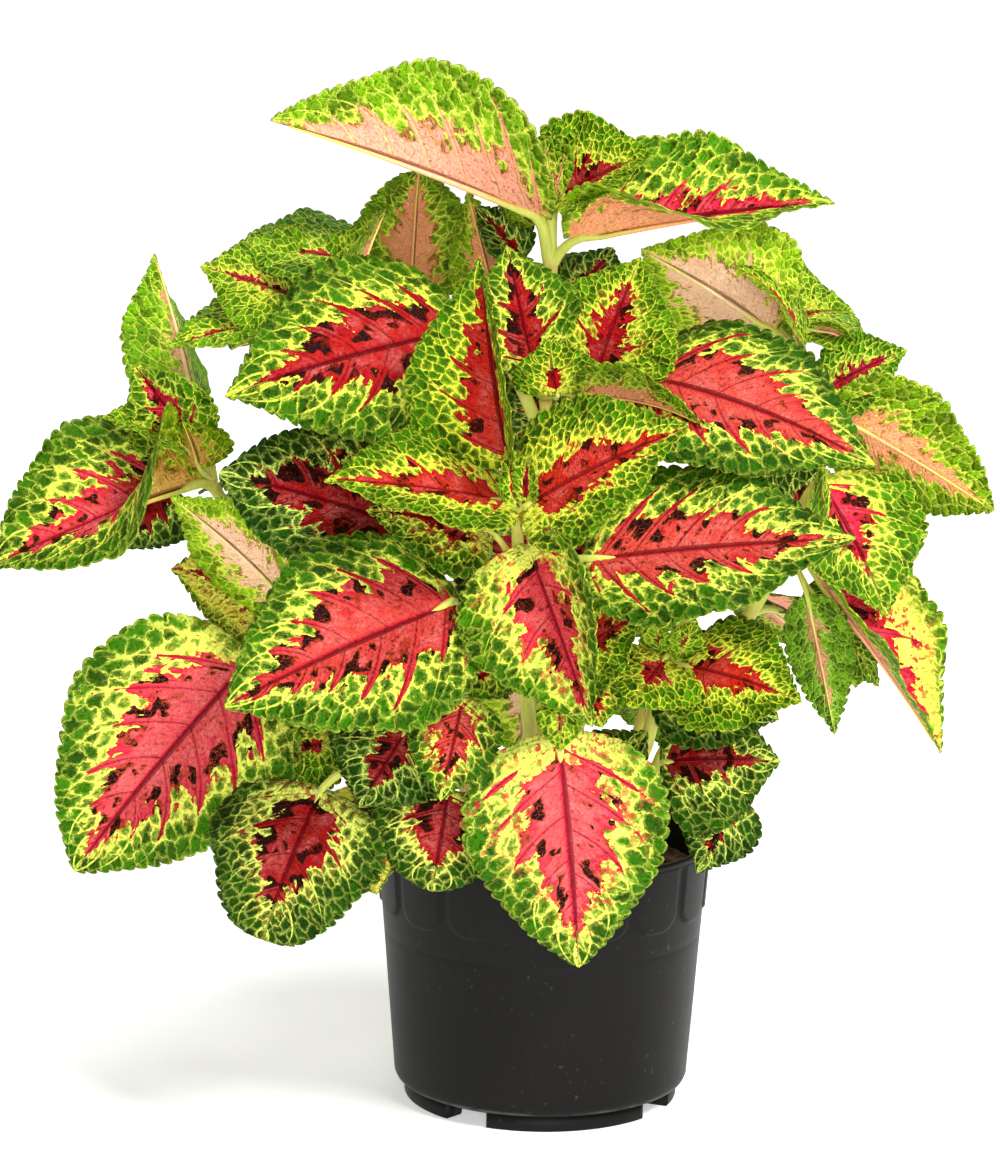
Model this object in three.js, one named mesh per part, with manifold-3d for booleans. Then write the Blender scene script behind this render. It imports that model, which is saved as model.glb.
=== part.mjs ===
// A coleus (Coleus scutellarioides) growing in a round nursery pot.
// Millimetres, +Z up.  The pot, its soil and one solid for each leafy shoot.

import * as THREE from 'three';
import { mergeVertices } from 'three/addons/utils/BufferGeometryUtils.js';
import Module from 'manifold-3d';

const wasm = await Module();
wasm.setup();

// ---------------------------------------------------------------- pot, driving sizes
const POT_HEIGHT = 102;
const RIM_RADIUS = 65;
const WALL_BASE_RADIUS = 56.7;
const WALL_THICKNESS = 1.6;
const FLOOR_UNDERSIDE = 6.4;
const FLOOR_THICKNESS = 2;
const BASE_ROUND = 3;
const RIM_BAND_HEIGHT = 5;
const COLLAR_BOTTOM = 76;
const COLLAR_PROUD = 0.9;
const FOOT_COUNT = 4;
const FOOT_OUTER_RADIUS = 53;
const FOOT_INNER_RADIUS = 44;
const FOOT_ARC_DEGREES = 70;
const FOOT_FIRST_DEGREES = -78;
const FOOT_CURVE_STEPS = 4;
const DRAIN_RADIUS = 4.5;
const DRAIN_RING = 36;
const DRAIN_COUNT = 6;
const DRAIN_SIDES = 6;
const RIM_CHAMFER = 1;
const POT_SEGMENTS = 36;

// ---------------------------------------------------------------- soil
const SOIL_TOP = 89;
const SOIL_CROWN = 3;
const SOIL_SHOULDER_SHARE = 0.6;
const SOIL_SHOULDER_RISE = 0.7;
const SOIL_SEGMENTS = 24;
const SOIL_WALL_GAP = 0.9;
const SOIL_FLOOR_GAP = 0.3;
const HOLE_WALL_GAP = 0.5;
const HOLE_FOOT_GAP = 0.6;

// ---------------------------------------------------------------- leaves and stems
const BLADE_THICKNESS = 0.8;
const STEM_SIDES = 5;
const STEM_BASE_RADIUS = 3.2;
const STEM_TOP_RADIUS = 2.2;
const PETIOLE_SHARE_OF_WIDTH = 0.024;
const PETIOLE_MIN_RADIUS = 1.0;
const PETIOLE_LONG = 25;
const PETIOLE_LEAVE_SHARE = 0.3;
const PETIOLE_RISE = 0.25;
const PETIOLE_PULL = 0.35;
const PETIOLE_SIDES = 4;
const TOOTH_DEPTH = 2;
const OUTLINE_SKEW = 0.62;
const OUTLINE_FULLNESS = 0.74;
const POINT = 0.4;
const BASE_FOLD_REACH = 0.55;
const BASE_FOLD_POWER = 1.2;
const CORDATE_SWEEP = 0.09;
const CORDATE_POWER = 1.5;
const RUFFLE_SHARE = 0.025;
const RUFFLE_WAVES = 2.5;
const LARGE_BLADE = 69;
const MEDIUM_BLADE = 34;
const LARGE_STEPS = [11, 4];
const MEDIUM_STEPS = [8, 3];
const SMALL_STEPS = [6, 2];
const TIDY_DISTANCE = 0.1;

const COLOURS = {
  pot: 0x24211e, soil: 0x2a1d14, leaf: 0x5f9a1e,
};

// Each shoot: its stem's nodes from the soil up, then its leaves.
// A leaf: name, stem node it grows from, blade base, blade tip, direction its upper face
// looks in, width, bend of its midrib in degrees, then [fold, curl, extra fold at the base]
// in degrees for its left and its right half, its twist in degrees and, where it isn't POINT, how
// pointed its tip is.
const SHOOTS = {
  shoot_crown: {
    stem: [[6, 8, 71], [5, 8, 160], [2, 6, 240], [0, 2, 300], [0, 0, 320], [0, 0, 342]],
    leaves: [
      ["crown_1", 4, [-9, -2, 341], [-104, -20, 374], [-0.2, 0.85, 0.45], 94, 15, [0, 8, -45], [75, 0, 0], 0, 0.1],
      ["crown_2", 4, [13, -4, 332], [105, -12, 346], [0, -0.2, 1], 72, 8, [62, -10, 0], [5, -5, 70], 0],
      ["crown_3", 5, [4, -1, 347], [38, -6, 363], [-0.15, -0.6, 0.8], 54, 20, [50, 0, 0], [20, 0, 0], 0],
      ["crown_4", 5, [-1, -3, 345], [-23, 2, 364], [0.35, 0.85, 0.3], 42, 15, [10, 0, 0], [10, 0, 0], 0],
      ["crown_5", 5, [-2, 3, 349], [-6, 14, 368], [0, -0.9, 0.3], 14, 10, [15, 0, 0], [15, 0, 0], 0],
      ["crown_6", 5, [3, 5, 349], [10, 18, 363], [-0.2, -0.7, 0.6], 16, 10, [15, 0, 0], [15, 0, 0], 0],
      ["crown_7", 3, [10, 10, 306], [24, 20, 327], [-0.3, -0.8, 0.4], 34, 20, [10, -10, 0], [10, -10, 0], 0],
      ["crown_8", 3, [-12, 12, 324], [-29, 14, 342], [0.3, -0.8, 0.5], 24, 20, [15, 0, 0], [15, 0, 0], 0],
      ["crown_9", 3, [-20, 12, 302], [-32, 18, 348], [0.1, 0.9, 0.2], 32, 15, [10, 0, 0], [10, 0, 0], 0],
      ["crown_10", 2, [0, -2, 252], [-16, -14, 288], [0, -0.8, 0.5], 44, 20, [10, 0, 0], [10, 0, 0], 0],
    ],
  },
  shoot_upper_left: {
    stem: [[-14, 8, 71], [-32, 14, 150], [-55, 16, 220], [-70, 14, 270], [-76, 12, 297]],
    leaves: [
      ["upper_left_1", 4, [-77, 4, 302], [-62, 14, 342], [-0.6, -0.6, 0.5], 64, 15, [10, -12, 0], [50, 0, 0], 0],
      ["upper_left_2", 4, [-72, 20, 320], [-122, 12, 325], [0, -0.5, 0.85], 56, 20, [10, -15, 0], [10, -15, 0], 0],
      ["upper_left_3", 4, [-84, 8, 303], [-132, 0, 319], [-0.1, -0.75, 0.65], 60, 20, [5, -20, 0], [10, -20, 0], 0],
      ["upper_left_4", 4, [-87, 10, 300], [-144, -12, 289], [-0.1, -0.55, 0.8], 52, 20, [30, -20, 0], [8, -15, 0], 0],
      ["upper_left_5", 4, [-78, -22, 300], [-95, -30, 276], [0.3, 0.85, 0.1], 40, 15, [5, 0, 0], [5, 0, 0], 0],
      ["upper_left_6", 3, [-90, 4, 284], [-113, -10, 270], [-0.3, -0.7, 0.5], 42, 20, [8, -15, 0], [8, -15, 0], 0],
      ["upper_left_7", 3, [-54, 42, 306], [-50, 14, 356], [0, 0.6, 0.8], 46, 80, [10, 0, 0], [10, 0, 0], 0],
      ["upper_left_8", 3, [-84, 40, 290], [-128, 88, 280], [-0.2, 0.2, 1], 64, 30, [12, -20, 0], [12, -20, 0], 0],
      ["upper_left_9", 2, [-80, 34, 236], [-138, 52, 226], [-0.2, 0, 1], 64, 30, [12, -20, 0], [12, -20, 0], 0],
    ],
  },
  shoot_far_left: {
    stem: [[-24, -2, 71], [-48, -4, 140], [-85, -4, 185], [-112, -6, 215], [-126, -6, 236]],
    leaves: [
      ["far_left_1", 4, [-134, -14, 238], [-204, -45, 211], [-0.15, -0.82, 0.55], 86, 22, [36, -8, 120], [8, -12, 0], 0, 0.1],
      ["far_left_2", 4, [-134, -4, 271], [-149, 0, 324], [0.35, 0.85, 0], 58, 15, [112, 0, 0], [2, 5, 0], 20],
      ["far_left_3", 4, [-134, -12, 256], [-155, -18, 284], [-0.3, -0.8, 0.45], 38, 20, [10, -15, 0], [40, -15, 0], 0],
      ["far_left_4", 4, [-138, -16, 253], [-167, -20, 264], [-0.1, -0.6, 0.8], 38, 40, [45, -20, 0], [8, -20, 0], 0],
      ["far_left_5", 4, [-131, -16, 246], [-137, -18, 263], [0.3, 0.8, 0.3], 32, 20, [10, 0, 0], [10, 0, 0], 0],
      ["far_left_6", 4, [-146, -4, 236], [-162, -8, 212], [-0.1, -0.85, 0.4], 40, 20, [8, -15, 0], [8, -15, 0], 0],
      ["far_left_7", 2, [-99, -44, 203], [-139, -44, 238], [0.35, 0.85, 0.2], 44, 20, [5, 10, 0], [5, 10, 0], 0],
      ["far_left_8", 2, [-91, -20, 198], [-141, -26, 208], [-0.1, -0.75, 0.65], 60, 20, [8, -15, 0], [8, -15, 0], 0],
      ["far_left_9", 3, [-118, 20, 222], [-163, 58, 206], [-0.3, 0.2, 1], 62, 30, [12, -20, 0], [12, -20, 0], 0],
      ["far_left_10", 2, [-96, 22, 186], [-138, 58, 168], [-0.4, 0.1, 1], 60, 30, [12, -20, 0], [12, -20, 0], 0],
    ],
  },
  shoot_upper_middle: {
    stem: [[4, -6, 71], [4, -16, 150], [0, -28, 215], [-1, -34, 255], [-2, -36, 274]],
    leaves: [
      ["upper_middle_1", 4, [-7, -40, 289], [-17, -42, 331], [0.05, -0.85, 0.5], 46, 12, [10, -12, 0], [10, -12, 0], 0],
      ["upper_middle_2", 4, [17, -42, 285], [32, -40, 327], [-0.1, -0.8, 0.6], 54, 12, [10, -12, 0], [10, -12, 0], 0],
      ["upper_middle_3", 4, [2, -52, 279], [-1, -50, 298], [-0.1, -0.8, 0.6], 32, 25, [8, -20, 0], [8, -20, 0], 0],
      ["upper_middle_4", 4, [12, -50, 277], [54, -72, 269], [0, 0.6, 0.8], 36, 35, [10, 10, 0], [10, 10, 0], 0],
      ["upper_middle_5", 3, [-37, -40, 299], [-117, -68, 277], [-0.1, -0.85, 0.5], 84, 24, [5, -10, 0], [2, -12, 0], 0, 0.35],
      ["upper_middle_6", 3, [37, -44, 283], [116, -72, 255], [0.15, -0.7, 0.7], 76, 25, [12, -18, 0], [12, -18, 0], 0],
      ["upper_middle_7", 2, [-6, -34, 224], [-32, -52, 196], [-0.1, -0.8, 0.5], 46, 20, [8, -10, 0], [8, -10, 0], 0],
      ["upper_middle_8", 2, [6, -34, 226], [32, -50, 200], [0.1, -0.8, 0.5], 44, 20, [8, -10, 0], [8, -10, 0], 0],
    ],
  },
  shoot_centre: {
    stem: [[0, -20, 71], [-4, -44, 130], [-9, -64, 180], [-11, -76, 212], [-12, -82, 237]],
    leaves: [
      ["centre_1", 4, [-19, -88, 244], [-79, -112, 253], [-0.05, -0.6, 0.8], 56, 15, [22, -15, 0], [15, -10, 0], 0],
      ["centre_2", 4, [-7, -90, 243], [47, -108, 273], [0.05, -0.75, 0.65], 62, 15, [12, -12, 0], [22, -15, 0], 0],
      ["centre_3", 4, [-13, -86, 244], [-16, -90, 264], [0.5, -0.8, 0], 14, 10, [15, 0, 0], [15, 0, 0], 0],
      ["centre_4", 4, [-9, -88, 244], [-8, -92, 262], [-0.5, -0.8, 0], 12, 10, [15, 0, 0], [15, 0, 0], 0],
      ["centre_5", 3, [-16, -84, 261], [-26, -81, 329], [-0.25, -0.85, 0.45], 66, 12, [10, -10, 0], [72, 0, 0], 0],
      ["centre_6", 3, [-7, -96, 225], [15, -120, 169], [-0.1, -0.9, 0.4], 66, 15, [50, 25, 0], [10, -15, 0], 0],
      ["centre_7", 3, [-24, -80, 232], [-65, -98, 241], [0, -0.8, 0.6], 44, 20, [8, -15, 0], [8, -15, 0], 0],
      ["centre_8", 3, [19, -85, 223], [106, -105, 234], [0.05, -0.7, 0.7], 74, 5, [12, -15, 0], [18, -15, 0], 0],
    ],
  },
  shoot_left: {
    stem: [[-14, -18, 71], [-26, -40, 130], [-36, -56, 170], [-42, -62, 202]],
    leaves: [
      ["left_1", 3, [-38, -92, 206], [-113, -118, 174], [-0.1, -0.8, 0.6], 84, 20, [12, -15, 0], [12, -15, 0], 0, 0.25],
      ["left_2", 3, [-55, -56, 230], [-120, -58, 248], [-0.1, -0.65, 0.75], 80, 20, [12, -15, 0], [12, -15, 0], 0, 0.1],
      ["left_3", 2, [-39, -76, 193], [-56, -84, 178], [0, -0.8, 0.6], 36, 20, [8, -15, 0], [8, -15, 0], 0],
      ["left_4", 2, [-18, -76, 183], [-32, -84, 173], [0, -0.8, 0.6], 25, 20, [8, -15, 0], [8, -15, 0], 0],
    ],
  },
  shoot_upper_right: {
    stem: [[16, 4, 71], [40, 8, 150], [68, 10, 215], [88, 8, 265], [94, 6, 288]],
    leaves: [
      ["upper_right_1", 4, [81, 5, 299], [33, -10, 328], [0.2, 0.85, 0.35], 69, 15, [5, 12, 0], [5, 12, 0], 0],
      ["upper_right_2", 4, [94, -4, 292], [67, -9, 322], [0.6, -0.3, 0.75], 38, 60, [10, 0, 0], [10, 0, 0], 0],
      ["upper_right_3", 4, [88, 16, 300], [118, 36, 302], [-0.2, -0.6, 0.8], 62, 20, [25, 0, 0], [10, -10, 0], 0],
      ["upper_right_4", 4, [100, 4, 298], [118, -2, 287], [0.6, 0, 0.8], 16, 70, [20, 0, 0], [20, 0, 0], 0],
      ["upper_right_5", 4, [105, -8, 277], [133, -14, 292], [0.05, -0.7, 0.7], 38, 15, [10, -10, 0], [10, -10, 0], 0],
      ["upper_right_6", 3, [109, -14, 267], [165, -30, 234], [0.3, 0.8, 0.45], 58, 10, [5, 0, 0], [5, 0, 0], 0, 0.1],
      ["upper_right_7", 3, [84, 36, 268], [104, 98, 258], [0.2, 0.2, 1], 66, 30, [12, -20, 0], [12, -20, 0], 0],
      ["upper_right_8", 2, [92, 34, 228], [148, 58, 208], [0.3, 0.1, 0.95], 62, 30, [12, -20, 0], [12, -20, 0], 0],
    ],
  },
  shoot_right: {
    stem: [[22, -6, 71], [45, -12, 135], [72, -20, 185], [88, -26, 216], [92, -28, 229]],
    leaves: [
      ["right_1", 4, [101, -30, 242], [124, -50, 197], [0.35, -0.8, 0.5], 72, 20, [5, -10, 0], [20, 0, 55], 0],
      ["right_2", 4, [99, -34, 210], [147, -40, 144], [0.75, -0.2, 0.6], 68, 10, [58, -15, 0], [14, 10, 0], 0],
      ["right_3", 3, [100, -20, 200], [126, -14, 164], [0.5, -0.7, 0.5], 38, 20, [8, -15, 0], [8, -15, 0], 0],
      ["right_4", 3, [96, -46, 200], [106, -52, 153], [0.1, 0.9, 0.3], 28, 10, [25, 0, 0], [25, 0, 0], 0],
      ["right_5", 2, [92, 8, 188], [124, 44, 152], [0.4, 0.1, 0.9], 60, 30, [12, -20, 0], [12, -20, 0], 0],
      ["right_6", 3, [86, -12, 224], [106, -8, 246], [0, -0.8, 0.5], 40, 20, [8, -10, 0], [8, -10, 0], 0],
    ],
  },
  shoot_middle_right: {
    stem: [[14, -22, 71], [26, -46, 120], [36, -64, 152], [42, -74, 181]],
    leaves: [
      ["middle_right_1", 3, [50, -84, 184], [89, -100, 175], [0.05, -0.75, 0.65], 52, 20, [10, -15, 0], [10, -15, 0], 0],
      ["middle_right_2", 3, [40, -90, 187], [28, -100, 172], [-0.05, -0.75, 0.65], 40, 20, [8, -15, 0], [8, -15, 0], 0],
      ["middle_right_3", 3, [45, -80, 187], [52, -86, 202], [0.4, -0.8, 0.4], 18, 10, [10, 0, 0], [10, 0, 0], 0],
      ["middle_right_4", 3, [41, -80, 187], [37, -87, 202], [-0.4, -0.8, 0.4], 16, 10, [10, 0, 0], [10, 0, 0], 0],
      ["middle_right_5", 2, [42, -68, 176], [84, -68, 162], [0.1, -0.8, 0.6], 48, 20, [8, -15, 0], [8, -15, 0], 0],
    ],
  },
  shoot_middle: {
    stem: [[4, -30, 71], [8, -50, 125], [11, -66, 160], [12, -74, 178]],
    leaves: [
      ["middle_1", 3, [9, -93, 190], [33, -106, 207], [0, -0.75, 0.65], 44, 20, [10, -15, 0], [10, -15, 0], 0],
      ["middle_2", 3, [11, -88, 184], [19, -96, 164], [0.1, -0.85, 0.5], 36, 20, [8, -15, 0], [8, -15, 0], 0],
      ["middle_3", 3, [4, -94, 172], [4, -104, 157], [0, -0.9, 0.4], 17, 15, [8, -15, 0], [8, -15, 0], 0],
    ],
  },
  shoot_front_left: {
    stem: [[-14, -34, 71], [-22, -54, 112], [-30, -68, 138], [-32, -76, 160]],
    leaves: [
      ["front_left_1", 3, [-31, -92, 171], [-38, -102, 138], [0, -0.9, 0.4], 34, 20, [10, -15, 0], [10, -15, 0], 0],
      ["front_left_2", 2, [-36, -86, 136], [-41, -96, 104], [0, -0.9, 0.4], 54, 20, [8, -18, 0], [8, -18, 0], 0, -0.2],
      ["front_left_3", 3, [-52, -84, 158], [-67, -92, 133], [-0.05, -0.85, 0.5], 48, 25, [8, -18, 0], [8, -18, 0], 0],
      ["front_left_4", 2, [-83, -82, 134], [-101, -98, 86], [-0.3, -0.9, 0.35], 68, 25, [8, -18, 0], [8, -18, 0], 0, -0.4],
      ["front_left_5", 2, [-70, -74, 134], [-61, -80, 98], [0, -0.9, 0.4], 38, 20, [8, -15, 0], [8, -15, 0], 0],
    ],
  },
  shoot_low_left: {
    stem: [[-26, -14, 71], [-52, -24, 116], [-84, -34, 150], [-98, -38, 169]],
    leaves: [
      ["low_left_1", 3, [-114, -45, 173], [-173, -62, 101], [-0.2, -0.9, 0.4], 94, 20, [12, -15, 0], [50, -15, 0], 0, 0.1],
      ["low_left_2", 3, [-112, -36, 176], [-122, -44, 104], [0.3, 0.85, 0.2], 38, 15, [8, 0, 0], [8, 0, 0], 0],
      ["low_left_3", 2, [-81, -60, 151], [-100, -68, 141], [0, -0.8, 0.6], 36, 20, [8, -15, 0], [8, -15, 0], 0],
      ["low_left_4", 2, [-94, -4, 148], [-138, 22, 112], [-0.4, 0, 0.9], 58, 30, [12, -20, 0], [12, -20, 0], 0],
    ],
  },
  shoot_front: {
    stem: [[6, -40, 71], [8, -60, 112], [8, -76, 134], [7, -88, 150]],
    leaves: [
      ["front_1", 3, [4, -99, 156], [12, -94, 76], [0, -0.97, 0.25], 74, 15, [8, -18, 0], [8, -18, 0], 0, 0.1],
      ["front_2", 1, [16, -72, 134], [36, -80, 160], [0, -0.8, 0.5], 36, 20, [8, -10, 0], [8, -10, 0], 0],
    ],
  },
  shoot_low_right: {
    stem: [[24, -20, 71], [34, -40, 108], [42, -54, 128], [46, -62, 143]],
    leaves: [
      ["low_right_1", 3, [44, -78, 148], [84, -80, 149], [0.05, -0.8, 0.6], 60, 20, [8, -15, 0], [8, -15, 0], 0],
      ["low_right_2", 2, [69, -48, 127], [56, -55, 101], [0.2, -0.85, 0.4], 31, 20, [8, -15, 0], [8, -15, 0], 0],
    ],
  },
  shoot_back_top: {
    stem: [[2, 22, 71], [4, 38, 170], [8, 58, 235], [8, 66, 268]],
    leaves: [
      ["back_top_1", 3, [-12, 76, 282], [-70, 104, 284], [-0.1, 0.2, 1], 66, 30, [12, -20, 0], [12, -20, 0], 0],
      ["back_top_2", 3, [26, 74, 280], [84, 104, 276], [0.1, 0.2, 1], 66, 30, [12, -20, 0], [12, -20, 0], 0],
      ["back_top_3", 3, [6, 84, 280], [0, 150, 268], [0, 0.4, 0.9], 66, 30, [12, -20, 0], [12, -20, 0], 0],
      ["back_top_4", 3, [6, 68, 276], [0, 66, 294], [0, -0.8, 0.3], 18, 10, [10, 0, 0], [10, 0, 0], 0],
      ["back_top_5", 3, [12, 68, 276], [20, 66, 292], [0, -0.8, 0.3], 16, 10, [10, 0, 0], [10, 0, 0], 0],
      ["back_top_6", 2, [34, 82, 242], [68, 144, 226], [0.3, 0.4, 0.85], 72, 30, [12, -20, 0], [12, -20, 0], 0],
      ["back_top_7", 2, [-18, 82, 244], [-54, 146, 232], [-0.2, 0.5, 0.8], 72, 30, [12, -20, 0], [12, -20, 0], 0],
    ],
  },
  shoot_back_left: {
    stem: [[-12, 26, 71], [-40, 56, 140], [-62, 84, 190], [-70, 94, 218]],
    leaves: [
      ["back_left_1", 3, [-88, 98, 226], [-138, 112, 212], [-0.3, 0.2, 0.9], 64, 30, [12, -20, 0], [12, -20, 0], 0],
      ["back_left_2", 3, [-66, 114, 226], [-60, 176, 204], [-0.1, 0.5, 0.85], 70, 30, [12, -20, 0], [12, -20, 0], 0],
      ["back_left_3", 3, [-68, 92, 226], [-62, 88, 244], [0.1, -0.8, 0.3], 18, 10, [10, 0, 0], [10, 0, 0], 0],
      ["back_left_4", 2, [-84, 104, 182], [-114, 150, 142], [-0.4, 0.6, 0.7], 70, 30, [12, -20, 0], [12, -20, 0], 0],
      ["back_left_5", 2, [-42, 104, 182], [-24, 160, 142], [0.1, 0.8, 0.6], 64, 30, [12, -20, 0], [12, -20, 0], 0],
      ["back_left_6", 1, [-62, 66, 142], [-92, 86, 108], [-0.5, 0.2, 0.8], 58, 30, [12, -20, 0], [12, -20, 0], 0],
    ],
  },
  shoot_back_right: {
    stem: [[14, 24, 71], [42, 54, 140], [66, 80, 190], [74, 90, 216]],
    leaves: [
      ["back_right_1", 3, [92, 94, 224], [142, 106, 208], [0.3, 0.2, 0.9], 64, 30, [12, -20, 0], [12, -20, 0], 0],
      ["back_right_2", 3, [70, 112, 222], [66, 172, 200], [0.1, 0.5, 0.85], 68, 30, [12, -20, 0], [12, -20, 0], 0],
      ["back_right_3", 3, [76, 84, 222], [76, 78, 238], [-0.1, -0.8, 0.3], 18, 10, [10, 0, 0], [10, 0, 0], 0],
      ["back_right_4", 2, [86, 100, 180], [116, 146, 144], [0.4, 0.6, 0.7], 68, 30, [12, -20, 0], [12, -20, 0], 0],
      ["back_right_5", 2, [46, 100, 182], [28, 156, 146], [0, 0.8, 0.6], 62, 30, [12, -20, 0], [12, -20, 0], 0],
      ["back_right_6", 1, [50, 66, 138], [66, 92, 108], [0.3, 0.6, 0.8], 50, 30, [12, -20, 0], [12, -20, 0], 0],
    ],
  },
  shoot_back_low: {
    stem: [[0, 36, 71], [0, 66, 120], [-2, 90, 150]],
    leaves: [
      ["back_low_1", 2, [-4, 104, 154], [-8, 146, 98], [0, 0.9, 0.4], 72, 25, [10, -18, 0], [10, -18, 0], 0],
      ["back_low_2", 2, [-22, 92, 154], [-64, 116, 116], [-0.4, 0.8, 0.5], 56, 25, [10, -18, 0], [10, -18, 0], 0],
      ["back_low_3", 2, [18, 92, 154], [54, 118, 118], [0.4, 0.8, 0.5], 56, 25, [10, -18, 0], [10, -18, 0], 0],
    ],
  },
};

// ---------------------------------------------------------------- solids
const vec = (point) => new THREE.Vector3(...point);
const radians = THREE.MathUtils.degToRad;

function toSolid(geometry) {
  const bare = geometry.index ? geometry.clone() : geometry;
  bare.deleteAttribute('normal');
  bare.deleteAttribute('uv');
  const merged = mergeVertices(bare, 1e-4);
  return new wasm.Manifold(new wasm.Mesh({
    numProp: 3,
    vertProperties: new Float32Array(merged.attributes.position.array),
    triVerts: new Uint32Array(merged.index.array),
  }));
}

function toMesh(solid, name, colour, roughness) {
  const made = solid.getMesh();
  const geometry = new THREE.BufferGeometry();
  geometry.setAttribute('position', new THREE.BufferAttribute(new Float32Array(made.vertProperties), 3));
  geometry.setIndex(new THREE.BufferAttribute(new Uint32Array(made.triVerts), 1));
  geometry.computeVertexNormals();
  const material = new THREE.MeshStandardMaterial({ color: colour, roughness, metalness: 0 });
  const mesh = new THREE.Mesh(geometry, material);
  mesh.name = name;
  return mesh;
}

function solidFromFaces(points, faces) {
  const geometry = new THREE.BufferGeometry();
  const numbers = points.flatMap((p) => [p.x, p.y, p.z]);
  geometry.setAttribute('position', new THREE.Float32BufferAttribute(numbers, 3));
  geometry.setIndex(faces.flat());
  return toSolid(geometry);
}

// Turn a profile of [radius, height] pairs, which starts and ends on the axis, about +Z.
function turned(profile, segments) {
  const outline = profile.map(([radius, height]) => new THREE.Vector2(radius, height));
  return toSolid(new THREE.LatheGeometry(outline, segments).rotateX(Math.PI / 2));
}

// ---------------------------------------------------------------- pot
const wallRadiusAt = (height) => THREE.MathUtils.mapLinear(
  height, FLOOR_UNDERSIDE, POT_HEIGHT, WALL_BASE_RADIUS, RIM_RADIUS - COLLAR_PROUD);

function potShell() {
  const inside = (height) => wallRadiusAt(height) - WALL_THICKNESS;
  const floorTop = FLOOR_UNDERSIDE + FLOOR_THICKNESS;
  const bandBottom = POT_HEIGHT - RIM_BAND_HEIGHT;
  return turned([
    [0, FLOOR_UNDERSIDE],
    [WALL_BASE_RADIUS - BASE_ROUND, FLOOR_UNDERSIDE],
    [wallRadiusAt(FLOOR_UNDERSIDE + BASE_ROUND), FLOOR_UNDERSIDE + BASE_ROUND],
    [wallRadiusAt(COLLAR_BOTTOM), COLLAR_BOTTOM],
    [wallRadiusAt(COLLAR_BOTTOM) + COLLAR_PROUD, COLLAR_BOTTOM + COLLAR_PROUD],
    [RIM_RADIUS, POT_HEIGHT - RIM_CHAMFER],
    [RIM_RADIUS - RIM_CHAMFER, POT_HEIGHT],
    [inside(POT_HEIGHT), POT_HEIGHT],
    [inside(bandBottom), bandBottom],
    [inside(floorTop), floorTop],
    [0, floorTop],
  ], POT_SEGMENTS);
}

function foot(middle) {
  const half = radians(FOOT_ARC_DEGREES / 2);
  const outline = new THREE.Shape();
  outline.absarc(0, 0, FOOT_OUTER_RADIUS, middle - half, middle + half, false);
  outline.absarc(0, 0, FOOT_INNER_RADIUS, middle + half, middle - half, true);
  const depth = FLOOR_UNDERSIDE + FLOOR_THICKNESS / 2;
  const options = { depth, bevelEnabled: false, curveSegments: FOOT_CURVE_STEPS };
  return toSolid(new THREE.ExtrudeGeometry(outline, options));
}

function upright(radius, height, sides, x, y, bottom) {
  const drum = new THREE.CylinderGeometry(radius, radius, height, sides).rotateX(Math.PI / 2);
  return toSolid(drum.translate(x, y, bottom + height / 2));
}

function makePot() {
  let pot = potShell();
  for (let i = 0; i < FOOT_COUNT; i += 1) {
    pot = pot.add(foot(radians(FOOT_FIRST_DEGREES + i * 360 / FOOT_COUNT)));
  }
  for (let i = 0; i < DRAIN_COUNT; i += 1) {
    const angle = radians(i * 360 / DRAIN_COUNT);
    pot = pot.subtract(upright(DRAIN_RADIUS, 3 * FLOOR_THICKNESS, DRAIN_SIDES,
      DRAIN_RING * Math.cos(angle), DRAIN_RING * Math.sin(angle), FLOOR_UNDERSIDE - FLOOR_THICKNESS));
  }
  return toMesh(pot, 'pot', COLOURS.pot, 0.6);
}

// ---------------------------------------------------------------- soil
// A plain slanted hole round the foot of a stem, a little wider and deeper than it.
function stemHole(stem) {
  const [bottom, above] = stem.slice(0, 2).map(vec);
  const along = above.clone().sub(bottom).normalize();
  const start = bottom.clone().addScaledVector(along, -HOLE_FOOT_GAP);
  const radius = STEM_BASE_RADIUS + HOLE_WALL_GAP;
  return tube([start, above], [radius, radius], STEM_SIDES);
}

function makeSoil() {
  const floor = FLOOR_UNDERSIDE + FLOOR_THICKNESS + SOIL_FLOOR_GAP;
  const within = (height) => wallRadiusAt(height) - WALL_THICKNESS - SOIL_WALL_GAP;
  let soil = turned([
    [0, floor],
    [within(floor), floor],
    [within(SOIL_TOP), SOIL_TOP],
    [within(SOIL_TOP) * SOIL_SHOULDER_SHARE, SOIL_TOP + SOIL_CROWN * SOIL_SHOULDER_RISE],
    [0, SOIL_TOP + SOIL_CROWN],
  ], SOIL_SEGMENTS);
  for (const { stem } of Object.values(SHOOTS)) soil = soil.subtract(stemHole(stem));
  return toMesh(soil, 'soil', COLOURS.soil, 1);
}

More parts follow.
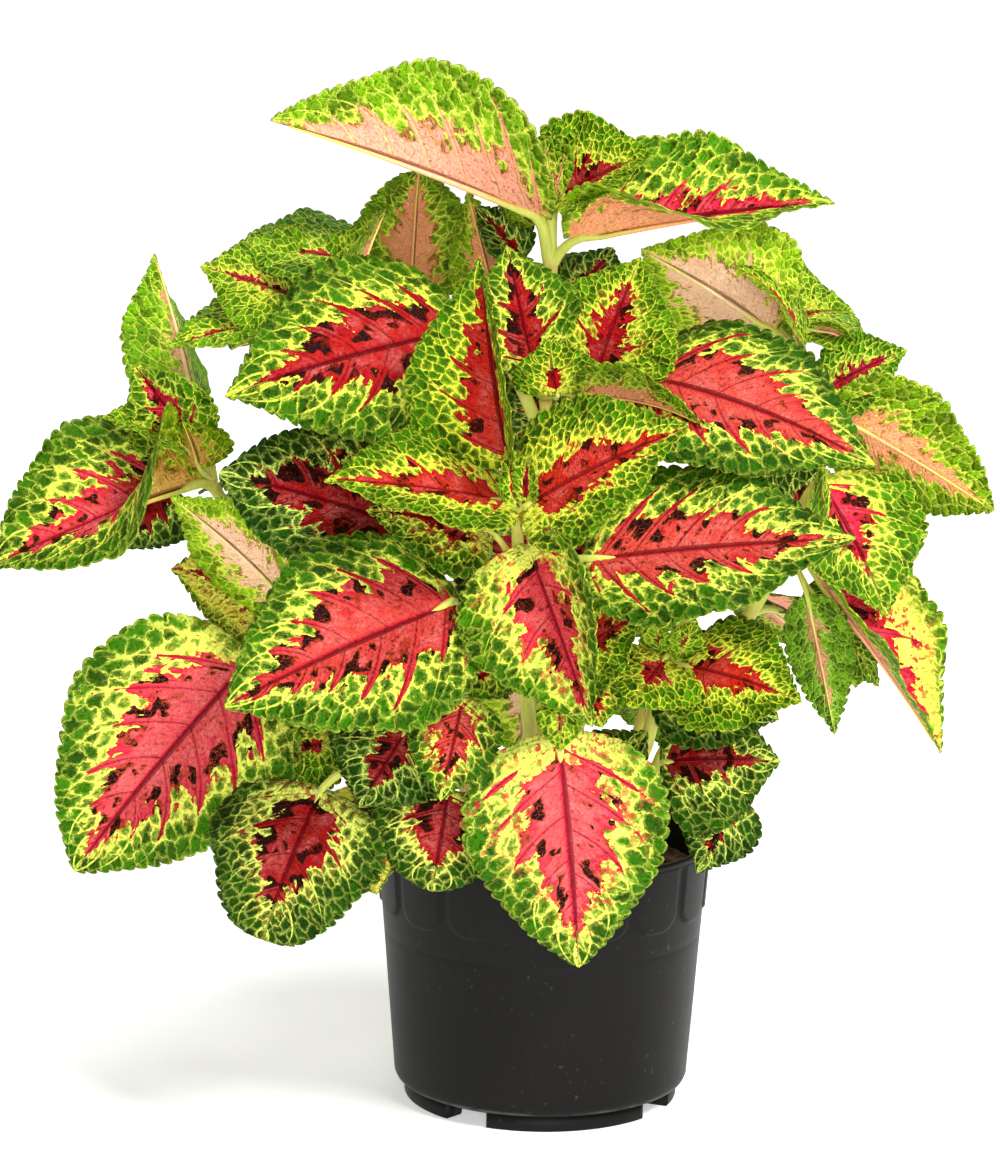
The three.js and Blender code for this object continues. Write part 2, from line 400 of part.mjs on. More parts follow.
// ---------------------------------------------------------------- stems
// A closed tube through the points of a curve, with a radius at each point.
function tube(points, radii, sides) {
  const rings = [];
  let across = null;
  points.forEach((point, i) => {
    const ahead = points[Math.min(i + 1, points.length - 1)].clone();
    const along = ahead.sub(points[Math.max(i - 1, 0)]).normalize();
    across = across ?? (Math.abs(along.x) < 0.8 ? new THREE.Vector3(1, 0, 0) : new THREE.Vector3(0, 1, 0));
    across = across.clone().addScaledVector(along, -across.dot(along)).normalize();
    const up = along.clone().cross(across);
    for (let k = 0; k < sides; k += 1) {
      const angle = 2 * Math.PI * k / sides;
      rings.push(point.clone()
        .addScaledVector(across, radii[i] * Math.cos(angle))
        .addScaledVector(up, radii[i] * Math.sin(angle)));
    }
  });
  const faces = [];
  const last = points.length - 1;
  for (let i = 0; i < last; i += 1) {
    for (let k = 0; k < sides; k += 1) {
      const a = i * sides + k;
      const b = i * sides + (k + 1) % sides;
      faces.push([a, b, b + sides], [a, b + sides, a + sides]);
    }
  }
  for (let k = 1; k < sides - 1; k += 1) {
    faces.push([0, k + 1, k], [last * sides, last * sides + k, last * sides + k + 1]);
  }
  return solidFromFaces(rings, faces);
}

function stemSolid(nodes) {
  const last = nodes.length - 1;
  const radii = nodes.map((_, i) => THREE.MathUtils.lerp(STEM_BASE_RADIUS, STEM_TOP_RADIUS, i / last));
  return tube(nodes.map(vec), radii, STEM_SIDES);
}

// ---------------------------------------------------------------- blades
// The blade's middle surface as a function of u, along the midrib, and v, across from -1 to 1.
class Blade {
  constructor([name, node, base, tip, facing, width, bend, left, right, twist, point = POINT]) {
    Object.assign(this, { name, node, width, left, right, point, twist: radians(twist) });
    this.base = vec(base);
    this.tip = vec(tip);
    this.along = this.tip.clone().sub(this.base);
    this.chord = this.along.length();
    this.along.normalize();
    const face = vec(facing);
    this.face = face.addScaledVector(this.along, -face.dot(this.along)).normalize();
    this.side = this.along.clone().cross(this.face);
    this.bend = Math.max(radians(bend), 1e-3);
    this.length = this.chord * (this.bend / 2) / Math.sin(this.bend / 2);
  }

  halfWidth(u) {
    const fullness = Math.sin(Math.PI * Math.max(u, 0) ** OUTLINE_SKEW);
    return this.width / 2 * Math.max(fullness, 0) ** (OUTLINE_FULLNESS + this.point * u * u);
  }

  // Place and frame of the midrib at u.
  midrib(u) {
    const start = this.bend / 2;
    const here = start - this.bend * u;
    const reach = this.length / this.bend;
    const point = this.base.clone()
      .addScaledVector(this.along, reach * (Math.sin(start) - Math.sin(here)))
      .addScaledVector(this.face, reach * (Math.cos(here) - Math.cos(start)));
    const along = this.along.clone().multiplyScalar(Math.cos(here)).addScaledVector(this.face, Math.sin(here));
    const face = this.face.clone().multiplyScalar(Math.cos(here)).addScaledVector(this.along, -Math.sin(here));
    const turn = this.twist * (u - 0.5);
    const side = this.side.clone().applyAxisAngle(along, turn);
    return { point, along, side, face: face.applyAxisAngle(along, turn) };
  }

  // Middle surface point and its normal; spread scales the half width, for the teeth.
  at(u, v, spread = 0) {
    const across = Math.abs(v);
    const sweep = CORDATE_SWEEP * (1 - u) ** 3 * across ** CORDATE_POWER;
    const { point, side, face } = this.midrib(u - sweep);
    const [fold, curl, baseFold] = v < 0 ? this.left : this.right;
    const near = Math.max(0, 1 - u / BASE_FOLD_REACH) ** BASE_FOLD_POWER;
    const start = radians(fold + baseFold * near);
    const turn = radians(curl) || 1e-6;
    const half = this.halfWidth(u) + spread;
    const out = half * (Math.sin(start + turn * across) - Math.sin(start)) / turn;
    const lift = half * (Math.cos(start) - Math.cos(start + turn * across)) / turn;
    const sign = v < 0 ? -1 : 1;
    const wave = Math.sin(2 * Math.PI * RUFFLE_WAVES * u + sign) * Math.sin(Math.PI * u);
    const ruffle = RUFFLE_SHARE * this.width * across ** 2 * wave;
    const tilt = start + turn * across;
    const normal = face.clone().multiplyScalar(Math.cos(tilt)).addScaledVector(side, -sign * Math.sin(tilt));
    return {
      point: point.addScaledVector(side, sign * out).addScaledVector(face, lift + ruffle),
      normal: v === 0 ? face : normal,
    };
  }
}

// Split the band between two rows of stations, whose u values rise, into triangles.
function bridge(inner, outer, atInner, atOuter) {
  const faces = [];
  let i = 0;
  let j = 0;
  while (i < inner.length - 1 || j < outer.length - 1) {
    const stepOuter = i === inner.length - 1
      || (j < outer.length - 1 && atOuter[j + 1] <= atInner[i + 1]);
    if (stepOuter) {
      faces.push([inner[i], outer[j], outer[j + 1]]);
      j += 1;
    } else {
      faces.push([inner[i], outer[j], inner[i + 1]]);
      i += 1;
    }
  }
  return faces.filter(([a, b, c]) => a !== b && b !== c && a !== c);
}

// The leaf stalk's middle line, from inside the stem to the blade's base.
function petioleLine(blade, root) {
  const { point, along } = blade.midrib(0);
  const length = point.distanceTo(root);
  const pull = point.clone().addScaledVector(along, -length * PETIOLE_PULL);
  const leave = root.clone().lerp(point, PETIOLE_LEAVE_SHARE);
  leave.z += length * PETIOLE_RISE;
  return new THREE.CubicBezierCurve3(root, leave, pull, point).getPoints(length > PETIOLE_LONG ? 3 : 2);
}

// Stalk and blade in one closed skin.  The stalk's four-sided rings end at the blade's base, where
// its top and bottom corners start the midrib and its side corners start the margins.
function leafSolid(blade, root) {
  const points = [];
  const faces = [];
  const size = Math.max(blade.chord, blade.width);
  let [rimSteps, ribSteps] = SMALL_STEPS;
  if (size > MEDIUM_BLADE) [rimSteps, ribSteps] = MEDIUM_STEPS;
  if (size > LARGE_BLADE) [rimSteps, ribSteps] = LARGE_STEPS;
  const radius = Math.max(PETIOLE_MIN_RADIUS, blade.width * PETIOLE_SHARE_OF_WIDTH);
  const line = petioleLine(blade, root);
  const { along: exit, face: exitFace } = blade.midrib(0);
  line.forEach((point, i) => {
    const along = i === line.length - 1 ? exit : line[i + 1].clone().sub(line[Math.max(i - 1, 0)]).normalize();
    const face = exitFace.clone().addScaledVector(along, -exitFace.dot(along)).normalize();
    const side = along.clone().cross(face);
    points.push(
      point.clone().addScaledVector(face, radius), point.clone().addScaledVector(side, radius),
      point.clone().addScaledVector(face, -radius), point.clone().addScaledVector(side, -radius));
  });
  for (let i = 0; i < line.length - 1; i += 1) {
    for (let k = 0; k < PETIOLE_SIDES; k += 1) {
      const [a, b] = [PETIOLE_SIDES * i + k, PETIOLE_SIDES * i + (k + 1) % PETIOLE_SIDES];
      faces.push([a, b, b + PETIOLE_SIDES], [a, b + PETIOLE_SIDES, a + PETIOLE_SIDES]);
    }
  }
  faces.push([0, 2, 1], [0, 3, 2]);
  const start = PETIOLE_SIDES * (line.length - 1);
  const [top, right, bottom, left] = [start, start + 1, start + 2, start + 3];

  // Each station is a pair of points, on the upper and the lower face.
  const station = (u, v, spread) => {
    const { point, normal } = blade.at(u, v, spread);
    const half = BLADE_THICKNESS / 2;
    points.push(point.clone().addScaledVector(normal, half), point.clone().addScaledVector(normal, -half));
    return [points.length - 2, points.length - 1];
  };
  const tip = station(1, 0, 0);
  const row = (steps, first, place) => {
    const between = Array.from({ length: steps - 1 }, (_, i) => place((i + 1) / steps, i + 1));
    return [first, ...between, tip];
  };
  const spaced = (steps) => Array.from({ length: steps + 1 }, (_, i) => i / steps);
  const rib = row(ribSteps, [top, bottom], (u) => station(u, 0, 0));
  for (const [sign, corner] of [[-1, left], [1, right]]) {
    const edge = row(rimSteps, [corner, corner],
      (u, i) => station(u, sign, TOOTH_DEPTH * (i % 2 ? 0.5 : -0.5)));
    for (const level of [0, 1]) {
      const band = bridge(rib.map((pair) => pair[level]), edge.map((pair) => pair[level]),
        spaced(ribSteps), spaced(rimSteps));
      const flip = (sign < 0) !== (level === 1);
      faces.push(...(flip ? band.map(([a, b, c]) => [a, c, b]) : band));
    }
    for (let i = 0; i < rimSteps; i += 1) {
      const [[a, aLow], [b, bLow]] = sign > 0 ? [edge[i], edge[i + 1]] : [edge[i + 1], edge[i]];
      if (a !== aLow) faces.push([a, aLow, bLow]);
      if (b !== bLow) faces.push([a, bLow, b]);
    }
  }
  return solidFromFaces(points, faces);
}

function largestBody(solid) {
  const bodies = solid.decompose();
  return bodies.reduce((best, body) => (body.volume() > best.volume() ? body : best));
}

function makeShoot(name, { stem, leaves }) {
  let shoot = stemSolid(stem);
  for (const row of leaves) {
    const blade = new Blade(row);
    shoot = shoot.add(leafSolid(blade, vec(stem[blade.node])));
  }
  return toMesh(largestBody(shoot.simplify(TIDY_DISTANCE)), name, COLOURS.leaf, 0.6);
}

// ---------------------------------------------------------------- assembly
// The origin is the middle of the whole plant's footprint, on the ground.
const plant = new THREE.Group();
plant.add(makePot(), makeSoil());
for (const [name, shoot] of Object.entries(SHOOTS)) plant.add(makeShoot(name, shoot));
const extent = new THREE.Box3().setFromObject(plant);
const centre = extent.getCenter(new THREE.Vector3());
plant.position.set(-Math.round(centre.x), -Math.round(centre.y), 0);

export default plant;
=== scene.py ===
"""A coleus in its nursery pot: fine leaves, stems, pot, soil, stage, camera and lights.

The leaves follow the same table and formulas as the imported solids, in millimetres about the pot's
axis, and are only divided finer: toothed margins, quilted blades, raised ribs, stalks and hairs.
"""
import math

import bmesh
import bpy
import numpy as np
from mathutils import Matrix, Vector


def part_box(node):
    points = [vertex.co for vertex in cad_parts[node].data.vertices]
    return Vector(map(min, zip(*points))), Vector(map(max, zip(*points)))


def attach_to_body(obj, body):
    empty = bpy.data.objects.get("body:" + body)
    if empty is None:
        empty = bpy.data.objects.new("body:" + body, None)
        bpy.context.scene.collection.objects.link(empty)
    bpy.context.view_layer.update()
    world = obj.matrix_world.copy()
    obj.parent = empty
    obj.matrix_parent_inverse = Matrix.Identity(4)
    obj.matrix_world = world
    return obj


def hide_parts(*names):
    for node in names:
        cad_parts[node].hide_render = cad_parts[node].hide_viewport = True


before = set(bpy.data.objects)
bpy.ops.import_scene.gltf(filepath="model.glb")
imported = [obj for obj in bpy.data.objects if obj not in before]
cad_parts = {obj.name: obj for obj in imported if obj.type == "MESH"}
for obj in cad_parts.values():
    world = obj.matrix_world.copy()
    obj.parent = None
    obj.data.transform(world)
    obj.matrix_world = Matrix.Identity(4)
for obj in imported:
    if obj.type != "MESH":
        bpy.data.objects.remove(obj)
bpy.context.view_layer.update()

MM = 0.001
WELD_DISTANCE = 1e-6
SEED = 7
pot_low, pot_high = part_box("pot")
AXIS = np.array([(pot_low[0] + pot_high[0]) / 2, (pot_low[1] + pot_high[1]) / 2, 0.0])

# ------------------------------------------------------------------ pot and soil, mm
POT_HEIGHT = 102
RIM_RADIUS = 65
WALL_BASE_RADIUS = 56.7
WALL_THICKNESS = 1.6
FLOOR_UNDERSIDE = 6.4
FLOOR_THICKNESS = 2
BASE_ROUND = 3
COLLAR_PROUD = 0.9
LOBE_COUNT = 16
LOBE_GAP_DEGREES = 3.0
LOBE_BOTTOM = 75.5
LOBE_CORNER = 8.0
LOBE_FIRST_DEGREES = -90 - 11.25 - 2.5
LOBE_EDGE = 0.5
RIM_LIP = 2.3
RIM_LIP_PROUD = 0.35
STACK_LINE = 66.0
STACK_LINE_DEPTH = 0.12
COLLAR_ROWS = 46
FOOT_COUNT = 4
FOOT_OUTER_RADIUS = 53
FOOT_INNER_RADIUS = 44
FOOT_ARC_DEGREES = 70
FOOT_FIRST_DEGREES = -78
FOOT_ROUND = 0.7
FOOT_STEPS = 40
DRAIN_RADIUS = 4.5
DRAIN_RING = 36
DRAIN_COUNT = 6
HUB_RADIUS = 14
POT_SEGMENTS = 360
SOIL_TOP = 89
SOIL_CROWN = 3
SOIL_WALL_GAP = 0.9
SOIL_FLOOR_GAP = 0.3
SOIL_SEGMENTS = 180
SOIL_RINGS = 60
CRUMB_COUNT = 700
CRUMB_SIDES = 6

# ------------------------------------------------------------------ leaves and stems, mm
STEM_BASE_RADIUS = 3.2
STEM_TOP_RADIUS = 2.2
PETIOLE_SHARE_OF_WIDTH = 0.024
PETIOLE_MIN_RADIUS = 1.0
PETIOLE_LEAVE_SHARE = 0.3
PETIOLE_RISE = 0.25
PETIOLE_PULL = 0.35
OUTLINE_SKEW = 0.62
OUTLINE_FULLNESS = 0.74
POINT = 0.4
LEAST_HALF_WIDTH = 0.12
BASE_FOLD_REACH = 0.55
BASE_FOLD_POWER = 1.2
CORDATE_SWEEP = 0.09
CORDATE_POWER = 1.5
RUFFLE_SHARE = 0.025
RUFFLE_WAVES = 2.5

# Each shoot: its stem's nodes from the soil up, then its leaves.
# A leaf: the stem node it grows from, blade base, blade tip, direction its upper face looks in, width,
# bend of its midrib in degrees, then [fold, curl] or [fold, curl, extra fold at the base] in degrees
# for its left and its right half, or once for both.
SHOOTS = {
  "crown": {
    "stem": [[6, 8, 71], [5, 8, 160], [2, 6, 240], [0, 2, 300], [0, 0, 320], [0, 0, 342]],
    "leaves": [
      [4, [-9, -2, 341], [-104, -20, 374], [-0.2, 0.85, 0.45], 94, 15, [0, 8, -45], [75, 0]],
      [4, [13, -4, 332], [105, -12, 346], [0, -0.2, 1], 72, 8, [62, -10], [5, -5, 70]],
      [5, [4, -1, 347], [38, -6, 363], [-0.15, -0.6, 0.8], 54, 20, [50, 0], [20, 0]],
      [5, [-1, -3, 345], [-23, 2, 364], [0.35, 0.85, 0.3], 42, 15, [10, 0]],
      [5, [-2, 3, 349], [-6, 14, 368], [0, -0.9, 0.3], 14, 10, [15, 0]],
      [5, [3, 5, 349], [10, 18, 363], [-0.2, -0.7, 0.6], 16, 10, [15, 0]],
      [3, [10, 10, 306], [24, 20, 327], [-0.3, -0.8, 0.4], 34, 20, [10, -10]],
      [3, [-12, 12, 324], [-29, 14, 342], [0.3, -0.8, 0.5], 24, 20, [15, 0]],
      [3, [-20, 12, 302], [-32, 18, 348], [0.1, 0.9, 0.2], 32, 15, [10, 0]],
      [2, [0, -2, 252], [-16, -14, 288], [0, -0.8, 0.5], 44, 20, [10, 0]],
    ],
  },
  "upper_left": {
    "stem": [[-14, 8, 71], [-32, 14, 150], [-55, 16, 220], [-70, 14, 270], [-76, 12, 297]],
    "leaves": [
      [4, [-77, 4, 302], [-62, 14, 342], [-0.6, -0.6, 0.5], 64, 15, [10, -12], [50, 0]],
      [4, [-72, 20, 320], [-122, 12, 325], [0, -0.5, 0.85], 56, 20, [10, -15]],
      [4, [-84, 8, 303], [-132, 0, 319], [-0.1, -0.75, 0.65], 60, 20, [5, -20], [10, -20]],
      [4, [-87, 10, 300], [-144, -12, 289], [-0.1, -0.55, 0.8], 52, 20, [30, -20], [8, -15]],
      [4, [-78, -22, 300], [-95, -30, 276], [0.3, 0.85, 0.1], 40, 15, [5, 0]],
      [3, [-90, 4, 284], [-113, -10, 270], [-0.3, -0.7, 0.5], 42, 20, [8, -15]],
      [3, [-54, 42, 306], [-50, 14, 356], [0, 0.6, 0.8], 46, 80, [10, 0]],
      [3, [-84, 40, 290], [-128, 88, 280], [-0.2, 0.2, 1], 64, 30, [12, -20]],
      [2, [-80, 34, 236], [-138, 52, 226], [-0.2, 0, 1], 64, 30, [12, -20]],
    ],
  },
  "far_left": {
    "stem": [[-24, -2, 71], [-48, -4, 140], [-85, -4, 185], [-112, -6, 215], [-126, -6, 236]],
    "leaves": [
      [4, [-134, -14, 238], [-204, -45, 211], [-0.15, -0.82, 0.55], 86, 22, [36, -8, 120], [8, -12]],
      [4, [-134, -4, 271], [-149, 0, 324], [0.35, 0.85, 0], 58, 15, [112, 0], [2, 5]],
      [4, [-134, -12, 256], [-155, -18, 284], [-0.3, -0.8, 0.45], 38, 20, [10, -15], [40, -15]],
      [4, [-138, -16, 253], [-167, -20, 264], [-0.1, -0.6, 0.8], 38, 40, [45, -20], [8, -20]],
      [4, [-131, -16, 246], [-137, -18, 263], [0.3, 0.8, 0.3], 32, 20, [10, 0]],
      [4, [-146, -4, 236], [-162, -8, 212], [-0.1, -0.85, 0.4], 40, 20, [8, -15]],
      [2, [-99, -44, 203], [-139, -44, 238], [0.35, 0.85, 0.2], 44, 20, [5, 10]],
      [2, [-91, -20, 198], [-141, -26, 208], [-0.1, -0.75, 0.65], 60, 20, [8, -15]],
      [3, [-118, 20, 222], [-163, 58, 206], [-0.3, 0.2, 1], 62, 30, [12, -20]],
      [2, [-96, 22, 186], [-138, 58, 168], [-0.4, 0.1, 1], 60, 30, [12, -20]],
    ],
  },
  "upper_middle": {
    "stem": [[4, -6, 71], [4, -16, 150], [0, -28, 215], [-1, -34, 255], [-2, -36, 274]],
    "leaves": [
      [4, [-7, -40, 289], [-17, -42, 331], [0.05, -0.85, 0.5], 46, 12, [10, -12]],
      [4, [17, -42, 285], [32, -40, 327], [-0.1, -0.8, 0.6], 54, 12, [10, -12]],
      [4, [2, -52, 279], [-1, -50, 298], [-0.1, -0.8, 0.6], 32, 25, [8, -20]],
      [4, [12, -50, 277], [54, -72, 269], [0, 0.6, 0.8], 36, 35, [10, 10]],
      [3, [-37, -40, 299], [-117, -68, 277], [-0.1, -0.85, 0.5], 84, 24, [5, -10], [2, -12]],
      [3, [37, -44, 283], [116, -72, 255], [0.15, -0.7, 0.7], 76, 25, [12, -18]],
      [2, [-6, -34, 224], [-32, -52, 196], [-0.1, -0.8, 0.5], 46, 20, [8, -10]],
      [2, [6, -34, 226], [32, -50, 200], [0.1, -0.8, 0.5], 44, 20, [8, -10]],
    ],
  },
  "centre": {
    "stem": [[0, -20, 71], [-4, -44, 130], [-9, -64, 180], [-11, -76, 212], [-12, -82, 237]],
    "leaves": [
      [4, [-19, -88, 244], [-79, -112, 253], [-0.05, -0.6, 0.8], 56, 15, [22, -15], [15, -10]],
      [4, [-7, -90, 243], [47, -108, 273], [0.05, -0.75, 0.65], 62, 15, [12, -12], [22, -15]],
      [4, [-13, -86, 244], [-16, -90, 264], [0.5, -0.8, 0], 14, 10, [15, 0]],
      [4, [-9, -88, 244], [-8, -92, 262], [-0.5, -0.8, 0], 12, 10, [15, 0]],
      [3, [-16, -84, 261], [-26, -81, 329], [-0.25, -0.85, 0.45], 66, 12, [10, -10], [72, 0]],
      [3, [-7, -96, 225], [15, -120, 169], [-0.1, -0.9, 0.4], 66, 15, [50, 25], [10, -15]],
      [3, [-24, -80, 232], [-65, -98, 241], [0, -0.8, 0.6], 44, 20, [8, -15]],
      [3, [19, -85, 223], [106, -105, 234], [0.05, -0.7, 0.7], 74, 5, [12, -15], [18, -15]],
    ],
  },
  "left": {
    "stem": [[-14, -18, 71], [-26, -40, 130], [-36, -56, 170], [-42, -62, 202]],
    "leaves": [
      [3, [-38, -92, 206], [-113, -118, 174], [-0.1, -0.8, 0.6], 84, 20, [12, -15]],
      [3, [-55, -56, 230], [-120, -58, 248], [-0.1, -0.65, 0.75], 80, 20, [12, -15]],
      [2, [-39, -76, 193], [-56, -84, 178], [0, -0.8, 0.6], 36, 20, [8, -15]],
      [2, [-18, -76, 183], [-32, -84, 173], [0, -0.8, 0.6], 25, 20, [8, -15]],
    ],
  },
  "upper_right": {
    "stem": [[16, 4, 71], [40, 8, 150], [68, 10, 215], [88, 8, 265], [94, 6, 288]],
    "leaves": [
      [4, [81, 5, 299], [33, -10, 328], [0.2, 0.85, 0.35], 69, 15, [5, 12]],
      [4, [94, -4, 292], [67, -9, 322], [0.6, -0.3, 0.75], 38, 60, [10, 0]],
      [4, [88, 16, 300], [118, 36, 302], [-0.2, -0.6, 0.8], 62, 20, [25, 0], [10, -10]],
      [4, [100, 4, 298], [118, -2, 287], [0.6, 0, 0.8], 16, 70, [20, 0]],
      [4, [105, -8, 277], [133, -14, 292], [0.05, -0.7, 0.7], 38, 15, [10, -10]],
      [3, [109, -14, 267], [165, -30, 234], [0.3, 0.8, 0.45], 58, 10, [5, 0]],
      [3, [84, 36, 268], [104, 98, 258], [0.2, 0.2, 1], 66, 30, [12, -20]],
      [2, [92, 34, 228], [148, 58, 208], [0.3, 0.1, 0.95], 62, 30, [12, -20]],
    ],
  },
  "right": {
    "stem": [[22, -6, 71], [45, -12, 135], [72, -20, 185], [88, -26, 216], [92, -28, 229]],
    "leaves": [
      [4, [101, -30, 242], [124, -50, 197], [0.35, -0.8, 0.5], 72, 20, [5, -10], [20, 0, 55]],
      [4, [99, -34, 210], [147, -40, 144], [0.75, -0.2, 0.6], 68, 10, [58, -15], [14, 10]],
      [3, [100, -20, 200], [126, -14, 164], [0.5, -0.7, 0.5], 38, 20, [8, -15]],
      [3, [96, -46, 200], [106, -52, 153], [0.1, 0.9, 0.3], 28, 10, [25, 0]],
      [2, [92, 8, 188], [124, 44, 152], [0.4, 0.1, 0.9], 60, 30, [12, -20]],
      [3, [86, -12, 224], [106, -8, 246], [0, -0.8, 0.5], 40, 20, [8, -10]],
    ],
  },
  "middle_right": {
    "stem": [[14, -22, 71], [26, -46, 120], [36, -64, 152], [42, -74, 181]],
    "leaves": [
      [3, [50, -84, 184], [89, -100, 175], [0.05, -0.75, 0.65], 52, 20, [10, -15]],
      [3, [40, -90, 187], [28, -100, 172], [-0.05, -0.75, 0.65], 40, 20, [8, -15]],
      [3, [45, -80, 187], [52, -86, 202], [0.4, -0.8, 0.4], 18, 10, [10, 0]],
      [3, [41, -80, 187], [37, -87, 202], [-0.4, -0.8, 0.4], 16, 10, [10, 0]],
      [2, [42, -68, 176], [84, -68, 162], [0.1, -0.8, 0.6], 48, 20, [8, -15]],
    ],
  },
  "middle": {
    "stem": [[4, -30, 71], [8, -50, 125], [11, -66, 160], [12, -74, 178]],
    "leaves": [
      [3, [9, -93, 190], [33, -106, 207], [0, -0.75, 0.65], 44, 20, [10, -15]],
      [3, [11, -88, 184], [19, -96, 164], [0.1, -0.85, 0.5], 36, 20, [8, -15]],
      [3, [4, -94, 172], [4, -104, 157], [0, -0.9, 0.4], 17, 15, [8, -15]],
    ],
  },
  "front_left": {
    "stem": [[-14, -34, 71], [-22, -54, 112], [-30, -68, 138], [-32, -76, 160]],
    "leaves": [
      [3, [-31, -92, 171], [-38, -102, 138], [0, -0.9, 0.4], 34, 20, [10, -15]],
      [2, [-36, -86, 136], [-41, -96, 104], [0, -0.9, 0.4], 54, 20, [8, -18]],
      [3, [-52, -84, 158], [-67, -92, 133], [-0.05, -0.85, 0.5], 48, 25, [8, -18]],
      [2, [-83, -82, 134], [-101, -98, 86], [-0.3, -0.9, 0.35], 68, 25, [8, -18]],
      [2, [-70, -74, 134], [-61, -80, 98], [0, -0.9, 0.4], 38, 20, [8, -15]],
    ],
  },
  "low_left": {
    "stem": [[-26, -14, 71], [-52, -24, 116], [-84, -34, 150], [-98, -38, 169]],
    "leaves": [
      [3, [-114, -45, 173], [-173, -62, 101], [-0.2, -0.9, 0.4], 94, 20, [12, -15], [50, -15]],
      [3, [-112, -36, 176], [-122, -44, 104], [0.3, 0.85, 0.2], 38, 15, [8, 0]],
      [2, [-81, -60, 151], [-100, -68, 141], [0, -0.8, 0.6], 36, 20, [8, -15]],
      [2, [-94, -4, 148], [-138, 22, 112], [-0.4, 0, 0.9], 58, 30, [12, -20]],
    ],
  },
  "front": {
    "stem": [[6, -40, 71], [8, -60, 112], [8, -76, 134], [7, -88, 150]],
    "leaves": [
      [3, [4, -99, 156], [12, -94, 76], [0, -0.97, 0.25], 74, 15, [8, -18]],
      [1, [16, -72, 134], [36, -80, 160], [0, -0.8, 0.5], 36, 20, [8, -10]],
    ],
  },
  "low_right": {
    "stem": [[24, -20, 71], [34, -40, 108], [42, -54, 128], [46, -62, 143]],
    "leaves": [
      [3, [44, -78, 148], [84, -80, 149], [0.05, -0.8, 0.6], 60, 20, [8, -15]],
      [2, [69, -48, 127], [56, -55, 101], [0.2, -0.85, 0.4], 31, 20, [8, -15]],
    ],
  },
  "back_top": {
    "stem": [[2, 22, 71], [4, 38, 170], [8, 58, 235], [8, 66, 268]],
    "leaves": [
      [3, [-12, 76, 282], [-70, 104, 284], [-0.1, 0.2, 1], 66, 30, [12, -20]],
      [3, [26, 74, 280], [84, 104, 276], [0.1, 0.2, 1], 66, 30, [12, -20]],
      [3, [6, 84, 280], [0, 150, 268], [0, 0.4, 0.9], 66, 30, [12, -20]],
      [3, [6, 68, 276], [0, 66, 294], [0, -0.8, 0.3], 18, 10, [10, 0]],
      [3, [12, 68, 276], [20, 66, 292], [0, -0.8, 0.3], 16, 10, [10, 0]],
      [2, [34, 82, 242], [68, 144, 226], [0.3, 0.4, 0.85], 72, 30, [12, -20]],
      [2, [-18, 82, 244], [-54, 146, 232], [-0.2, 0.5, 0.8], 72, 30, [12, -20]],
    ],
  },
  "back_left": {
    "stem": [[-12, 26, 71], [-40, 56, 140], [-62, 84, 190], [-70, 94, 218]],
    "leaves": [
      [3, [-88, 98, 226], [-138, 112, 212], [-0.3, 0.2, 0.9], 64, 30, [12, -20]],
      [3, [-66, 114, 226], [-60, 176, 204], [-0.1, 0.5, 0.85], 70, 30, [12, -20]],
      [3, [-68, 92, 226], [-62, 88, 244], [0.1, -0.8, 0.3], 18, 10, [10, 0]],
      [2, [-84, 104, 182], [-114, 150, 142], [-0.4, 0.6, 0.7], 70, 30, [12, -20]],
      [2, [-42, 104, 182], [-24, 160, 142], [0.1, 0.8, 0.6], 64, 30, [12, -20]],
      [1, [-62, 66, 142], [-92, 86, 108], [-0.5, 0.2, 0.8], 58, 30, [12, -20]],
    ],
  },
  "back_right": {
    "stem": [[14, 24, 71], [42, 54, 140], [66, 80, 190], [74, 90, 216]],
    "leaves": [
      [3, [92, 94, 224], [142, 106, 208], [0.3, 0.2, 0.9], 64, 30, [12, -20]],
      [3, [70, 112, 222], [66, 172, 200], [0.1, 0.5, 0.85], 68, 30, [12, -20]],
      [3, [76, 84, 222], [76, 78, 238], [-0.1, -0.8, 0.3], 18, 10, [10, 0]],
      [2, [86, 100, 180], [116, 146, 144], [0.4, 0.6, 0.7], 68, 30, [12, -20]],
      [2, [46, 100, 182], [28, 156, 146], [0, 0.8, 0.6], 62, 30, [12, -20]],
      [1, [50, 66, 138], [66, 92, 108], [0.3, 0.6, 0.8], 50, 30, [12, -20]],
    ],
  },
  "back_low": {
    "stem": [[0, 36, 71], [0, 66, 120], [-2, 90, 150]],
    "leaves": [
      [2, [-4, 104, 154], [-8, 146, 98], [0, 0.9, 0.4], 72, 25, [10, -18]],
      [2, [-22, 92, 154], [-64, 116, 116], [-0.4, 0.8, 0.5], 56, 25, [10, -18]],
      [2, [18, 92, 154], [54, 118, 118], [0.4, 0.8, 0.5], 56, 25, [10, -18]],
    ],
  },
}

# How pointed a tip is where it isn't POINT, and the degrees a blade is twisted about its midrib.
TIP_POINTS = {
  "crown_1": 0.1, "far_left_1": 0.1, "upper_middle_5": 0.35, "left_1": 0.25, "left_2": 0.1,
  "upper_right_6": 0.1, "front_left_2": -0.2, "front_left_4": -0.4, "low_left_1": 0.1, "front_1": 0.1,
}
TWISTS = {"far_left_2": 20}

